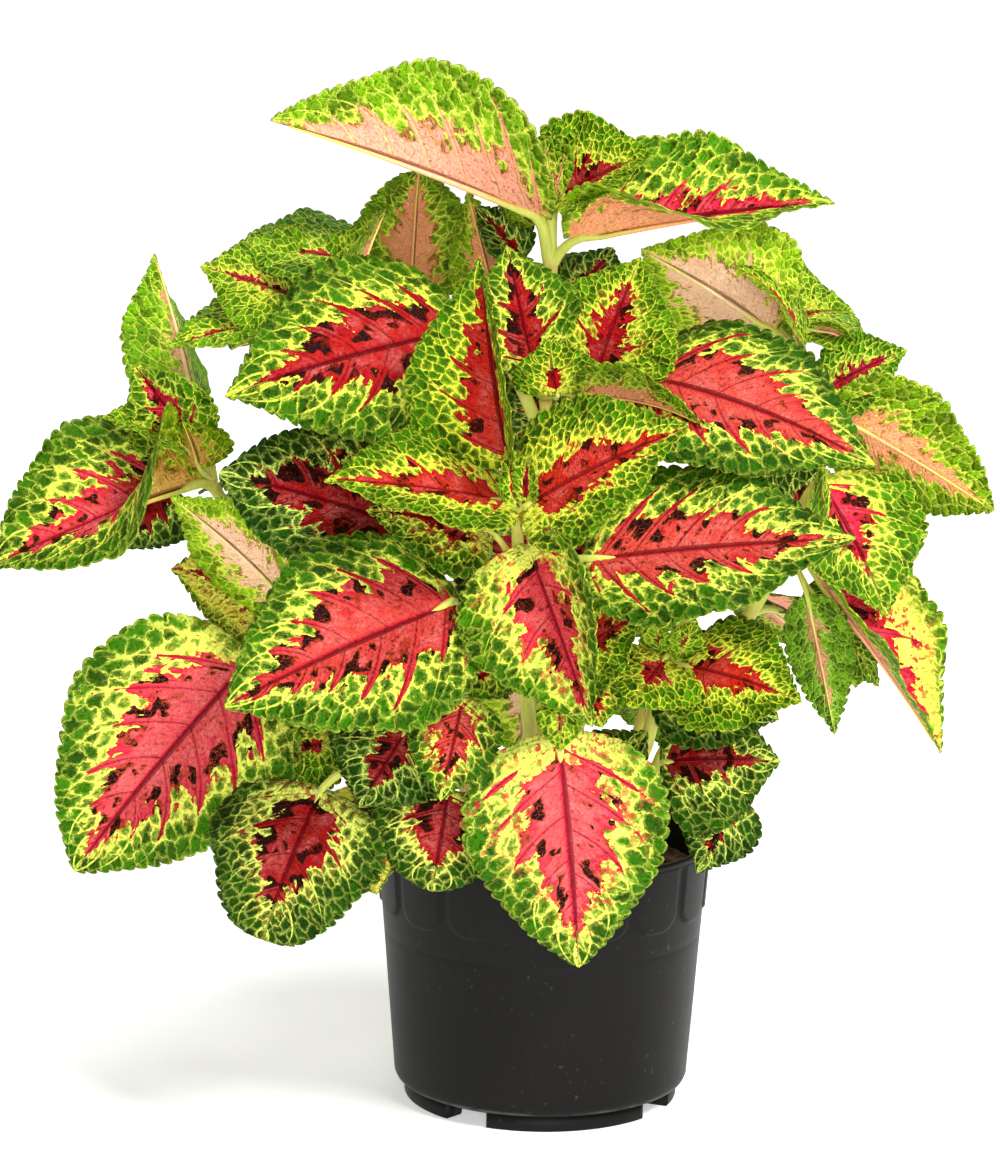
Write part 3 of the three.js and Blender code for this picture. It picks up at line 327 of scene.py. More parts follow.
# How the leaves of a shoot are coloured, in their order.  Upper face: palette, share of the half width
# that the coloured heart fills, share of the length it reaches, and how much cream lies round it.
# Lower face: palette, share.  A leaf past the end of its shoot's list, or with None in it, grows at the
# rear: it draws one of REAR_LOOKS and has fewer points.
LOOKS = {
  "crown": [
    ("pink", 0.6, 0.9, 0.1, "peach", 0.72),
    ("magenta", 0.42, 0.88, 0.1, "apricot", 0.75),
    ("young_red", 0.5, 0.6, 0.3, "peach", 0.6),
    ("lime", 0.1, 0.5, 0.3, "peach", 0.62),
    ("lime", 0.0, 0.5, 0.2, "sage", 0.1),
    ("lime", 0.0, 0.5, 0.2, "sage", 0.1),
    ("forest", 0.45, 0.7, 0.1, "sage", 0.3),
    ("forest", 0.2, 0.8, 0.1, "sage", 0.3),
    ("lime", 0.3, 0.7, 0.1, "apricot", 0.7),
    ("forest", 0.3, 0.7, 0.1, "sage", 0.3),
  ],
  "upper_left": [
    ("lime", 0.1, 0.75, 0.2, "peach", 0.5),
    ("green", 0.03, 0.8, 0.1, "peach", 0.6),
    ("lime", 0.06, 0.85, 0.3, "peach", 0.5),
    ("lime", 0.1, 0.8, 0.2, "peach", 0.5),
    ("green", 0.1, 0.5, 0.1, "sage", 0.3),
    ("forest", 0.0, 0.5, 0.0, "sage", 0.3),
    ("lime", 0.1, 0.5, 0.1, "tan", 0.6),
  ],
  "far_left": [
    ("pink", 0.55, 0.92, 0.15, "olive", 0.55),
    ("pink", 0.4, 0.9, 0.1, "sage", 0.16),
    ("magenta", 0.42, 0.95, 0.1, "olive", 0.4),
    ("lime", 0.15, 0.45, 0.1, "olive", 0.4),
    ("lime", 0.1, 0.5, 0.1, "olive", 0.5),
    ("forest", 0.6, 0.8, 0.1, "olive", 0.4),
    ("green", 0.3, 0.8, 0.1, "beige", 0.6),
    ("cream", 0.42, 0.8, 1.0, "cream", 0.2),
  ],
  "upper_middle": [
    ("crimson", 0.5, 0.85, 0.25, "peach", 0.6),
    ("young_red", 0.42, 0.8, 0.4, "peach", 0.6),
    ("young_red", 0.35, 0.5, 0.3, "peach", 0.6),
    ("lime", 0.3, 0.7, 0.2, "apricot", 0.55),
    ("crimson", 0.62, 0.82, 0.1, "peach", 0.6),
    ("coral", 0.72, 0.9, 0.1, "peach", 0.6),
    ("forest", 0.5, 0.8, 0.1, "sage", 0.3),
    ("forest", 0.5, 0.8, 0.1, "sage", 0.3),
  ],
  "centre": [
    ("ember", 0.5, 0.9, 0.3, "peach", 0.6),
    ("ember", 0.5, 0.88, 0.35, "peach", 0.6),
    ("lime", 0.3, 0.7, 0.3, "peach", 0.5),
    ("lime", 0.3, 0.7, 0.3, "peach", 0.5),
    ("ember", 0.55, 0.95, 0.15, "peach", 0.6),
    ("pink", 0.56, 0.88, 0.45, "sage", 0.3),
    ("crimson", 0.4, 0.7, 0.6, "peach", 0.6),
    ("coral", 0.64, 0.88, 0.2, "peach", 0.6),
  ],
  "left": [
    ("brick", 0.7, 0.92, 0.15, "peach", 0.6),
    ("forest", 0.66, 0.85, 0.1, "peach", 0.6),
    ("crimson", 0.4, 0.7, 0.2, "peach", 0.5),
    ("crimson", 0.3, 0.6, 0.3, "peach", 0.5),
  ],
  "upper_right": [
    ("lime", 0.4, 0.8, 0.1, "beige", 0.7),
    ("lime", 0.1, 0.8, 0.1, "apricot", 0.5),
    ("lime", 0.0, 0.5, 0.2, "peach", 0.4),
    ("lime", 0.1, 0.5, 0.1, "peach", 0.4),
    ("green", 0.22, 0.8, 0.2, "peach", 0.5),
    ("green", 0.3, 0.8, 0.1, "apricot", 0.42),
  ],
  "right": [
    ("magenta", 0.5, 0.62, 0.3, "apricot", 0.6),
    ("magenta", 0.45, 0.9, 0.9, "peach", 0.6),
    ("green", 0.0, 0.5, 0.1, "leafy", 0.3),
    ("green", 0.1, 0.5, 0.1, "leafy", 0.25),
    None,
    ("forest", 0.3, 0.8, 0.1, "peach", 0.5),
  ],
  "middle_right": [
    ("ember", 0.45, 0.75, 0.3, "peach", 0.6),
    ("young_red", 0.35, 0.5, 0.3, "peach", 0.6),
    ("lime", 0.0, 0.5, 0.2, "sage", 0.3),
    ("lime", 0.0, 0.5, 0.2, "sage", 0.3),
    ("forest", 0.55, 0.8, 0.1, "peach", 0.5),
  ],
  "middle": [
    ("ember", 0.5, 0.85, 0.2, "peach", 0.6),
    ("ember", 0.5, 0.8, 0.4, "peach", 0.6),
    ("lime", 0.0, 0.5, 0.4, "sage", 0.3),
  ],
  "front_left": [
    ("coral", 0.5, 0.75, 0.6, "peach", 0.5),
    # The second and fourth leaves take the lighter copy of forest: painted light for leaves in shade.
    ("dusk", 0.6, 0.75, 0.35, "sage", 0.3),
    ("forest", 0.5, 0.7, 0.1, "apricot", 0.5),
    ("dusk", 0.6, 0.75, 0.4, "sage", 0.3),
    ("cream", 0.4, 0.85, 1.0, "sage", 0.3),
  ],
  "low_left": [
    ("rose", 0.72, 0.93, 0.3, "sage", 0.3),
    ("forest", 0.5, 0.8, 0.1, "olive", 0.25),
    ("green", 0.12, 0.4, 0.3, "sage", 0.3),
  ],
  "front": [
    ("rose", 0.66, 0.82, 0.5, "sage", 0.3),
    # The second leaf takes the lighter copy of forest: painted light for leaves in shade.
    ("dusk", 0.4, 0.8, 0.1, "sage", 0.3),
  ],
  "low_right": [
    # The first leaf takes the lighter copy of forest: painted light for leaves in shade.
    ("dusk", 0.45, 0.7, 0.1, "sage", 0.3),
    ("forest", 0.3, 0.7, 0.3, "sage", 0.3),
  ],
}
REAR_LOOKS = [
  ("crimson", 0.55, 0.88, 0.2, "peach", 0.6),
  ("rose", 0.62, 0.9, 0.2, "peach", 0.6),
  ("coral", 0.5, 0.85, 0.3, "beige", 0.55),
  ("forest", 0.55, 0.8, 0.1, "sage", 0.3),
  ("ember", 0.5, 0.85, 0.25, "peach", 0.6),
  ("green", 0.15, 0.8, 0.2, "peach", 0.5),
]

# Palettes, sRGB: the heart between its veins, the heart's veins and edge, the net, the cells.
PALETTES = {
  "pink": ((214, 70, 71), (196, 5, 47), (222, 238, 82), (54, 105, 0)),
  "rose": ((216, 84, 84), (192, 3, 48), (228, 241, 92), (49, 103, 0)),
  "brick": ((200, 65, 57), (180, 7, 35), (226, 240, 86), (47, 101, 0)),
  "magenta": ((218, 43, 69), (192, 3, 43), (218, 234, 76), (62, 120, 0)),
  "crimson": ((170, 25, 21), (152, 3, 22), (220, 236, 76), (47, 97, 0)),
  "coral": ((202, 71, 58), (174, 7, 31), (222, 238, 84), (41, 92, 0)),
  "ember": ((196, 45, 23), (174, 5, 24), (230, 242, 62), (54, 109, 0)),
  "young_red": ((184, 21, 23), (164, 3, 22), (232, 242, 64), (66, 128, 0)),
  "forest": ((146, 19, 14), (146, 3, 22), (200, 224, 96), (24, 66, 0)),
  # A lighter copy of forest, brightest in its net: painted light for leaves that lie in shade.
  "dusk": ((152, 23, 15), (156, 3, 28), (224, 240, 100), (30, 74, 0)),
  "green": ((190, 28, 46), (164, 12, 42), (216, 234, 76), (64, 128, 0)),
  "lime": ((190, 28, 46), (164, 12, 42), (228, 240, 72), (83, 147, 2)),
  "cream": ((200, 16, 50), (174, 6, 44), (248, 244, 90), (60, 122, 4)),
  "peach": ((255, 174, 142), (246, 146, 116), (226, 238, 84), (104, 154, 6)),
  "apricot": ((255, 172, 122), (246, 150, 100), (228, 240, 84), (116, 164, 10)),
  "beige": ((255, 210, 170), (255, 190, 142), (238, 246, 84), (136, 188, 16)),
  "tan": ((232, 156, 106), (214, 124, 78), (214, 230, 76), (100, 146, 14)),
  "olive": ((226, 176, 84), (206, 138, 56), (218, 232, 68), (120, 158, 8)),
  "leafy": ((226, 166, 120), (206, 146, 100), (168, 206, 80), (108, 158, 26)),
  "sage": ((242, 186, 144), (222, 160, 112), (226, 242, 78), (116, 180, 10)),
}
SPOT_COLOUR = (26, 6, 3)
STEM_COLOUR = (212, 220, 96)
STEM_FLUSH = (206, 150, 92)
POT_COLOUR = (19, 18, 17)
DUST_COLOUR = (120, 116, 108)
SOIL_DARK = (30, 20, 14)
SOIL_LIGHT = (74, 52, 36)
SOIL_FLECK = (120, 92, 64)

# Linear RGBA colours.  A tint multiplies a palette's colour.
YELLOW = (0.92, 0.84, 0.1, 1.0)
PALE_NET = (0.96, 0.88, 0.17, 1.0)
# Lighter pink for patches in the heart: a mottling, and partly a painted soft sheen.
ROSY_MOTTLE_AND_SHEEN = (0.9, 0.42, 0.38, 1.0)
VEIN_TINT = (0.6, 0.5, 0.6, 1.0)
RUST_TINT = (0.5, 0.55, 0.2, 1.0)
WHITE = (1.0, 1.0, 1.0, 1.0)

# ------------------------------------------------------------------ fine forms, mm
OUTLINE_SAMPLES = 600
MARGIN_START = 0.004
TEETH_LEAST = 6
TOOTH_SPACING = 6.2
VEIN_SPACING = 15.0
VEINS_LEAST = 4
VEINS_MOST = 7
VEIN_SWEEP = 0.42
VEIN_CURVE = 1.25
VEIN_START = 0.3
VEIN_STAGGER = 0.35
CELL_SHARE_OF_LENGTH = 1 / 14
CELL_LEAST = 3.5
CELL_MOST = 5.6
# Share of the usual cell size that the net of a young leaf's palette has.
YOUNG_NETS = {"ember": 0.74, "young_red": 0.72, "lime": 0.76, "green": 0.88, "cream": 0.85}
CELL_STRETCH = 1.25
CELL_TURN_DEGREES = 50
# Points of the margin in each tooth, and of a blade's half from the midrib out.
TOOTH_PHASES = (0.0, 0.12, 0.35, 0.6, 0.85)
COLUMNS = (0.0, 0.05, 0.14, 0.27, 0.42, 0.57, 0.71, 0.83, 0.92, 1.0)
SMALL_COLUMNS = (0.0, 0.08, 0.25, 0.45, 0.65, 0.84, 1.0)
SMALL_BLADE = 34
TOOTH_DEPTH_SHARE = 0.44
TOOTH_LEAN = 0.85
TOOTH_ROUNDNESS = 0.65
FINE_THICKNESS = 0.45
QUILT_HEIGHT = 0.7
MIDRIB_GROOVE = 0.3
GROOVE_WIDTH = 1.6
CRISP_HEIGHT = 0.4
FULL_RELIEF_SIZE = 70
HEART_FILL = 1.023
HEART_REACH_POWER = 2.2
HEART_FULLNESS = 0.75
HEART_END_SLOPE = 1.395
LOWER_REACH = 0.9
LOWER_CREAM = 0.1
STALK_SIDES = 8
STALK_POINTS = 12
RIB_POINTS = 16
RIB_END = 0.93
STEM_SIDES = 12
STEM_SPAN_POINTS = 8
NODE_SWELL = 0.16
HAIR_RADIUS = 0.05
HAIR_SUNK = 0.05
STALK_HAIR = 0.8
STEM_HAIR = 0.7
HAIRS_PER_RING = 6

# ------------------------------------------------------------------ patterns of the materials
# Noises: scale, detail and roughness.  The scale is per metre, but for FLAMES and STREAKS, whose
# places are scaled first.
BLOTCHES = (130.0, 2.0, 0.5)
SPECKS = (700.0, 3.0, 0.7)
RAGS = (300.0, 3.0, 0.65)
FLAMES = (1.7, 3.0, 0.65)
GREEN_FLECKS = (460.0, 2.0, 0.5)
RED_FLECKS = (400.0, 2.0, 0.6)
FLECK_CLUSTERS = (170.0, 1.0, 0.5)
SPOT_CLUSTERS = (140.0, 1.0, 0.5)
STREAK_SCALE = (900.0, 900.0, 120.0)
STREAKS = (1.0, 3.0, 0.5)
FLUSHES = (60.0, 2.0, 0.5)
POT_GRAIN = (2600.0, 2.0, 0.5)
POT_CLOUDS = (25.0, 3.0, 0.5)
DUST_GRAIN = (420.0, 4.0, 0.7)
SEAM_DUST = (90.0, 3.0, 0.5)
SOIL_CLUMPS = (140.0, 4.0, 0.7)
SOIL_GRAINS = (900.0, 3.0, 0.6)
PAPER_CLOUDS = (3.0, 2.0, 0.5)
# The net: how far its cells are bent, their irregularity, and how much smaller the finest ones are.
NET_BEND = (0.85, 0.85, 0.85)
NET_BEND_SCALE = 330.0
CELL_CHANCE = 0.9
FINE_CELLS = 2.7
# What moves the heart's edge in or out, in shares of the half width.
FINGER_DEPTH = 0.32
FINGER_LUCK = 0.22
MIDRIB_FINGER = 0.05
NEEDLE = 0.07
EDGE_RAGS = 0.2
EDGE_FLAMES = 0.4
EDGE_BLOTCHES = 0.36
EDGE_CELLS = 0.2
FLAMES_PER_VEIN = 3.5
# Widths in cells beside a vein, and of the heart's edge in shares of the half width.
VEIN_RAGS = 0.12
FINGER_WIDTH = 0.44
HEART_EDGE = 0.008

rng = np.random.default_rng(SEED)


def linear(rgb):
    """An sRGB colour, 0 to 255, as linear RGBA."""
    part = np.array(rgb) / 255
    low = part / 12.92
    high = ((part + 0.055) / 1.055) ** 2.4
    return tuple(float(v) for v in np.where(part <= 0.04045, low, high)) + (1.0,)


def smooth(low, high, value):
    """Rise smoothly from 0 to 1 as value goes from low to high."""
    t = np.clip((value - low) / (high - low), 0, 1)
    return t * t * (3 - 2 * t)


def unit(vector):
    return vector / np.linalg.norm(vector, axis=-1, keepdims=True)


def stack(first, *others):
    """One row for each value of the array first; the others are arrays like it or single numbers."""
    return np.stack([np.ravel(value + 0 * first) for value in (first, *others)], axis=1)


# ------------------------------------------------------------------ mesh building
class Builder:
    """Gathers vertices, faces, materials and named vertex attributes for one object."""

    VECTORS = ("vein_grid", "cell_place", "scale", "zone")
    COLOURS = ("zone_colour", "deep_colour", "net_colour", "cell_colour")

    def __init__(self):
        self.points = []
        self.faces = []
        self.slots = []
        self.count = 0
        self.data = {name: [] for name in self.VECTORS + self.COLOURS}

    def add(self, points, faces, slot, **data):
        points = np.asarray(points, float).reshape(-1, 3)
        self.points.append(points)
        self.faces.extend([tuple(int(k) + self.count for k in face) for face in faces])
        self.slots.extend([slot] * len(faces))
        self.count += len(points)
        for name, store in self.data.items():
            width = 3 if name in self.VECTORS else 4
            value = data.get(name, np.zeros(width))
            store.append(np.broadcast_to(value, (len(points), width)))

    def build(self, name, materials):
        mesh = bpy.data.meshes.new(name)
        points = np.concatenate(self.points) * MM + AXIS
        mesh.from_pydata(points.tolist(), [], self.faces)
        for material in materials:
            mesh.materials.append(material)
        mesh.polygons.foreach_set("material_index", self.slots)
        mesh.polygons.foreach_set("use_smooth", [True] * len(self.faces))
        for key, store in self.data.items():
            values = np.concatenate(store)
            kind, field = ("FLOAT_VECTOR", "vector") if key in self.VECTORS else ("FLOAT_COLOR", "color")
            if values.any():
                mesh.attributes.new(key, kind, "POINT").data.foreach_set(field, values.ravel())
        weld(mesh)
        return add_object(name, mesh)


def add_object(name, data):
    """A new object in the scene."""
    made = bpy.data.objects.new(name, data)
    bpy.context.collection.objects.link(made)
    return made


def weld(mesh):
    """Join points that lie on one another, so that each part is closed."""
    work = bmesh.new()
    work.from_mesh(mesh)
    bmesh.ops.remove_doubles(work, verts=work.verts, dist=WELD_DISTANCE)
    work.to_mesh(mesh)
    work.free()


def grid_faces(rows, columns, closed=False, capped=False, flip=False):
    """Quads of a grid of points stored row by row.

    closed joins the last column to the first; capped adds a face to the first and the last row.
    """
    faces = []
    for i in range(rows - 1):
        for j in range(columns if closed else columns - 1):
            k = (j + 1) % columns
            a, b = i * columns + j, i * columns + k
            faces.append((a, b, b + columns, a + columns))
    if capped:
        last = (rows - 1) * columns
        faces.append(tuple(range(columns))[::-1])
        faces.append(tuple(range(last, last + columns)))
    return [face[::-1] for face in faces] if flip else faces


def circle(radius, angle, height):
    """Points round the pot's axis; radius and height are numbers or have one value for each angle."""
    return np.stack([radius * np.cos(angle), radius * np.sin(angle), height + 0 * angle], axis=1)


def tube(points, radii, sides, squareness=0.0):
    """Rings and faces of a closed tube; squareness turns its round section into a squarish one."""
    points = np.asarray(points, float)
    along = unit(np.gradient(points, axis=0))
    across = np.array([1.0, 0, 0]) if abs(along[0][0]) < 0.8 else np.array([0, 1.0, 0])
    angle = 2 * np.pi * np.arange(sides) / sides
    swell = 1 - squareness * np.cos(4 * angle)
    rings = []
    for point, ahead, radius in zip(points, along, radii):
        across = unit(across - ahead * across.dot(ahead))
        up = np.cross(ahead, across)
        ring = np.outer(np.cos(angle) * swell, across) + np.outer(np.sin(angle) * swell, up)
        rings.append(point + radius * ring)
    return np.concatenate(rings), grid_faces(len(points), sides, closed=True, capped=True)


def bezier(control, count):
    """Points of a cubic Bezier curve."""
    t = np.linspace(0, 1, count)[:, None]
    a, b, c, d = control
    return a * (1 - t) ** 3 + 3 * b * t * (1 - t) ** 2 + 3 * c * t ** 2 * (1 - t) + d * t ** 3


def smooth_path(nodes, per_span):
    """A Catmull-Rom curve through the nodes."""
    nodes = np.asarray(nodes, float)
    ends = np.vstack([2 * nodes[0] - nodes[1], nodes, 2 * nodes[-1] - nodes[-2]])
    parts = []
    for i in range(len(nodes) - 1):
        a, b, c, d = ends[i:i + 4]
        t = np.linspace(0, 1, per_span, endpoint=False)[:, None]
        parts.append(0.5 * (2 * b + (c - a) * t + (2 * a - 5 * b + 4 * c - d) * t ** 2
                            + (3 * b - a - 3 * c + d) * t ** 3))
    return np.vstack(parts + [nodes[-1:]])


# ------------------------------------------------------------------ leaves
class Blade:
    """The blade's middle surface: u runs along the midrib, v across from -1 to 1."""

    def __init__(self, name, row):
        self.node, base, tip, facing, self.width, bend, *halves = row
        self.folds = np.array([(half + [0])[:3] for half in (halves[0], halves[-1])], float)
        self.point = TIP_POINTS.get(name, POINT)
        self.twist = math.radians(TWISTS.get(name, 0))
        self.base = np.array(base, float)
        chord = np.array(tip, float) - self.base
        self.chord = np.linalg.norm(chord)
        self.along = chord / self.chord
        face = np.array(facing, float)
        self.face = unit(face - self.along * face.dot(self.along))
        self.side = np.cross(self.along, self.face)
        self.bend = max(math.radians(bend), 1e-3)
        self.length = self.chord * (self.bend / 2) / math.sin(self.bend / 2)

    def half_width(self, u):
        fullness = np.sin(np.pi * np.clip(u, 0, 1) ** OUTLINE_SKEW)
        return self.width / 2 * np.clip(fullness, 0, None) ** (OUTLINE_FULLNESS + self.point * u * u)

    def midrib(self, u):
        """Points and frames of the midrib at the values u."""
        u = np.asarray(u, float)[..., None]
        start = self.bend / 2
        here = start - self.bend * u
        reach = self.length / self.bend
        point = (self.base + self.along * reach * (np.sin(start) - np.sin(here))
                 + self.face * reach * (np.cos(here) - np.cos(start)))
        along = self.along * np.cos(here) + self.face * np.sin(here)
        face = self.face * np.cos(here) - self.along * np.sin(here)
        turn = self.twist * (u - 0.5)
        side = self.side * np.cos(turn) - face * np.sin(turn)
        return point, along, face * np.cos(turn) + self.side * np.sin(turn), side

    def surface(self, u, v, spread):
        """Middle surface points and normals; spread is added to the half width."""
        across = np.abs(v)
        sweep = CORDATE_SWEEP * (1 - u) ** 3 * across ** CORDATE_POWER
        point, _, face, side = self.midrib(u - sweep)
        folds = self.folds[(v > 0).astype(int)]
        near = np.clip(1 - u / BASE_FOLD_REACH, 0, None) ** BASE_FOLD_POWER
        start = np.radians(folds[..., 0] + folds[..., 2] * near)
        turn = np.radians(folds[..., 1])
        turn = np.where(np.abs(turn) < 1e-6, 1e-6, turn)
        half = np.clip(self.half_width(u) + spread, LEAST_HALF_WIDTH, None)
        tilt = start + turn * across
        out = half * (np.sin(tilt) - np.sin(start)) / turn
        lift = half * (np.cos(start) - np.cos(tilt)) / turn
        sign = np.where(v < 0, -1.0, 1.0)
        ruffle = (RUFFLE_SHARE * self.width * across ** 2
                  * np.sin(2 * np.pi * RUFFLE_WAVES * u + sign) * np.sin(np.pi * u))
        normal = face * np.cos(tilt)[..., None] - side * (sign * np.sin(tilt))[..., None]
        normal = np.where((v == 0)[..., None], face, normal)
        return point + side * (sign * out)[..., None] + face * (lift + ruffle)[..., None], normal


def margin_stations(blade):
    """Values of u along the margin, a few to each tooth, the tooth each lies in, and a tooth's length."""
    u = np.linspace(0, 1, OUTLINE_SAMPLES)
    outline = np.stack([u * blade.length, blade.half_width(u)], axis=1)
    arc = np.concatenate([[0], np.cumsum(np.linalg.norm(np.diff(outline, axis=0), axis=1))])
    teeth = int(round(TEETH_LEAST + arc[-1] / TOOTH_SPACING))
    count = np.array([tooth + phase for tooth in range(teeth) for phase in TOOTH_PHASES] + [teeth])
    share = MARGIN_START + (1 - 2 * MARGIN_START) * count / teeth
    return np.interp(share * arc[-1], arc, u), count, arc[-1] / teeth


def heart(u, share, reach):
    """How far across the coloured heart reaches at u, as a share of the half width."""
    inside = np.clip(1 - (u / reach) ** HEART_REACH_POWER, 0, None) ** HEART_FULLNESS
    return HEART_FILL * share * inside - HEART_END_SLOPE * np.clip(u - reach, 0, None)


def add_blade(builder, blade, look, fine):
    """The two faces of a blade and the rim between them."""
    size = max(blade.chord, blade.width)
    seed = rng.random(4)
    u, count, tooth = margin_stations(blade)
    half_columns = COLUMNS if fine and size > SMALL_BLADE else SMALL_COLUMNS
    v = np.array([-c for c in half_columns[:0:-1]] + list(half_columns))
    uu, vv = np.meshgrid(u, v, indexing="ij")
    teeth_at = np.repeat(count[:, None], len(v), axis=1)
    across = np.abs(vv)
    sign = np.where(vv < 0, 0, 1)

    # teeth, rounded and leaning towards the tip
    scallop = np.abs(np.sin(np.pi * (teeth_at % 1) ** TOOTH_LEAN)) ** TOOTH_ROUNDNESS
    vary = 0.85 + 0.3 * np.sin(5.1 * np.floor(teeth_at) + 9 * seed[1] + 2 * sign)
    depth = TOOTH_DEPTH_SHARE * tooth * vary * smooth(0.3, 1.5, teeth_at)
    spread = depth * (scallop - 0.6) * smooth(0.8, 1, across)
    point, normal = blade.surface(uu, vv, spread)

    # side veins: a whole number of vein_at is a vein
    veins = int(np.clip(round(blade.length / VEIN_SPACING), VEINS_LEAST, VEINS_MOST))
    cell = np.clip(blade.length * CELL_SHARE_OF_LENGTH, CELL_LEAST, CELL_MOST)
    cell *= YOUNG_NETS.get(look[0], 1.0)
    vein_at = veins * (uu - VEIN_SWEEP * across ** VEIN_CURVE) + VEIN_START
    vein_at += VEIN_STAGGER * seed[2] * sign
    half = np.clip(blade.half_width(uu), 1, None)
    steep = VEIN_SWEEP * VEIN_CURVE * across ** (VEIN_CURVE - 1) * blade.length / half
    vein_gap = blade.length / veins / np.sqrt(1 + steep ** 2)
    between = np.sin(np.pi * (vein_at % 1)) ** 2
    inner = smooth(0.02, 0.25, across) * (1 - smooth(0.7, 0.95, across))
    scale = min(1.0, size / FULL_RELIEF_SIZE)
    pucker = np.sin(np.pi * teeth_at + 6 * seed[3]) * smooth(0.55, 1, across)
    relief = scale * (QUILT_HEIGHT * between * inner
                      - MIDRIB_GROOVE * np.exp(-(across * half / GROOVE_WIDTH) ** 2) * (1 - uu)
                      + CRISP_HEIGHT * pucker)
    thick = FINE_THICKNESS / 2
    upper = point + normal * (relief + thick)[..., None]
    lower = point + normal * (relief - thick)[..., None]

    # shader inputs
    palette, share_up, reach, halo, under, share_under = look
    from_midrib = across * half
    turn = math.radians(CELL_TURN_DEGREES)
    forwards = uu * blade.length
    outwards = (forwards * math.cos(turn) + from_midrib * math.sin(turn)) / cell / CELL_STRETCH
    row = (forwards * math.sin(turn) - from_midrib * math.cos(turn)) / cell * CELL_STRETCH
    row = row + 100 * sign + 40 * seed[0]
    vein_grid = stack(vein_at, across, uu)
    cell_place = stack(row, outwards + 40 * seed[1], 0)
    sizes = stack(vein_gap / cell, from_midrib / cell, seed[3])
    rows, columns = uu.shape
    for layer, name, fill, length, cream, facing in (
            (upper, palette, share_up, reach, halo, 1.0),
            (lower, under, share_under, LOWER_REACH, LOWER_CREAM, -1.0)):
        colours = dict(zip(Builder.COLOURS, [linear(c) for c in PALETTES[name]]))
        zone = stack(heart(uu, fill, length) - across, cream, facing)
        builder.add(layer, grid_faces(rows, columns, flip=facing > 0), 0, vein_grid=vein_grid,
                    cell_place=cell_place, scale=sizes, zone=zone, **colours)
    # the rim joins the two layers, whose points were added one after the other
    index = np.arange(rows * columns).reshape(rows, columns)
    loop = np.concatenate([index[0, :-1], index[:-1, -1], index[-1, :0:-1], index[:0:-1, 0]])
    first = -2 * rows * columns
    ring = [(a + first, b + first, b + first // 2, a + first // 2)
            for a, b in zip(loop, np.roll(loop, -1))]
    builder.faces.extend([tuple(int(k) + builder.count for k in face) for face in ring])
    builder.slots.extend([0] * len(ring))


def add_stalk(builder, blade, root, under):
    """The leaf stalk, which runs on under the blade as its midrib."""
    radius = max(PETIOLE_MIN_RADIUS, blade.width * PETIOLE_SHARE_OF_WIDTH)
    at = np.linspace(0, RIB_END, RIB_POINTS)
    points, alongs, faces, _ = blade.midrib(at)
    start = points[0]
    length = np.linalg.norm(start - root)
    pull = start - alongs[0] * length * PETIOLE_PULL
    leave = root + (start - root) * PETIOLE_LEAVE_SHARE + np.array([0, 0, length * PETIOLE_RISE])
    stalk = bezier((root, leave, pull, start), STALK_POINTS)
    rib_radii = radius * (0.12 + 0.5 * np.linspace(1, 0, RIB_POINTS) ** 0.8)
    sunk = FINE_THICKNESS / 2 + MIDRIB_GROOVE * (1 - at) * smooth(0, 0.05, at)
    rib = points - faces * (rib_radii * 0.8 + sunk)[:, None]
    path = np.vstack([stalk[:-1], rib[1:]])
    free = STALK_POINTS - 1
    radii = np.concatenate([np.linspace(radius * 1.25, radius * 0.95, free), rib_radii[1:]])
    ring, skin = tube(path, radii, STALK_SIDES)
    flush = np.concatenate([np.linspace(0.5, 0.1, free), 0 * at[1:]])
    solid = np.concatenate([np.zeros(free), smooth(0.0, 0.3, at[1:])])
    heart_colour, _, net_colour, _ = [np.array(linear(c)) for c in PALETTES[under]]
    ahead = smooth(0.4, 0.9, at[1:])[:, None]
    rib_colour = heart_colour * (1 - ahead) + net_colour * ahead
    colours = np.vstack([np.tile(linear(STEM_FLUSH), (free, 1)), rib_colour])
    builder.add(ring, skin, 1, zone=np.repeat(stack(flush, solid, 1), STALK_SIDES, axis=0),
                zone_colour=np.repeat(colours, STALK_SIDES, axis=0))
    hairy = STALK_POINTS * STALK_SIDES
    add_hairs(builder, ring[:hairy], path[:STALK_POINTS], STALK_SIDES, 3 * HAIRS_PER_RING, STALK_HAIR)


def add_stem(builder, nodes):
    """The squarish main stem, a little swollen where leaves join it."""
    path = smooth_path(nodes, STEM_SPAN_POINTS)
    share = np.linspace(0, 1, len(path))
    radii = STEM_BASE_RADIUS + (STEM_TOP_RADIUS - STEM_BASE_RADIUS) * share
    from_node = np.abs(((share * (len(nodes) - 1)) + 0.5) % 1 - 0.5)
    radii = radii * (1 + NODE_SWELL * np.exp(-(from_node / 0.12) ** 2))
    ring, skin = tube(path, radii, STEM_SIDES, squareness=0.07)
    flush = 0.35 + 0.5 * np.exp(-(from_node / 0.16) ** 2)
    builder.add(ring, skin, 1, zone=np.repeat(stack(flush, 0, 1), STEM_SIDES, axis=0),
                zone_colour=linear(STEM_FLUSH))
    add_hairs(builder, ring, path, STEM_SIDES, HAIRS_PER_RING, STEM_HAIR)


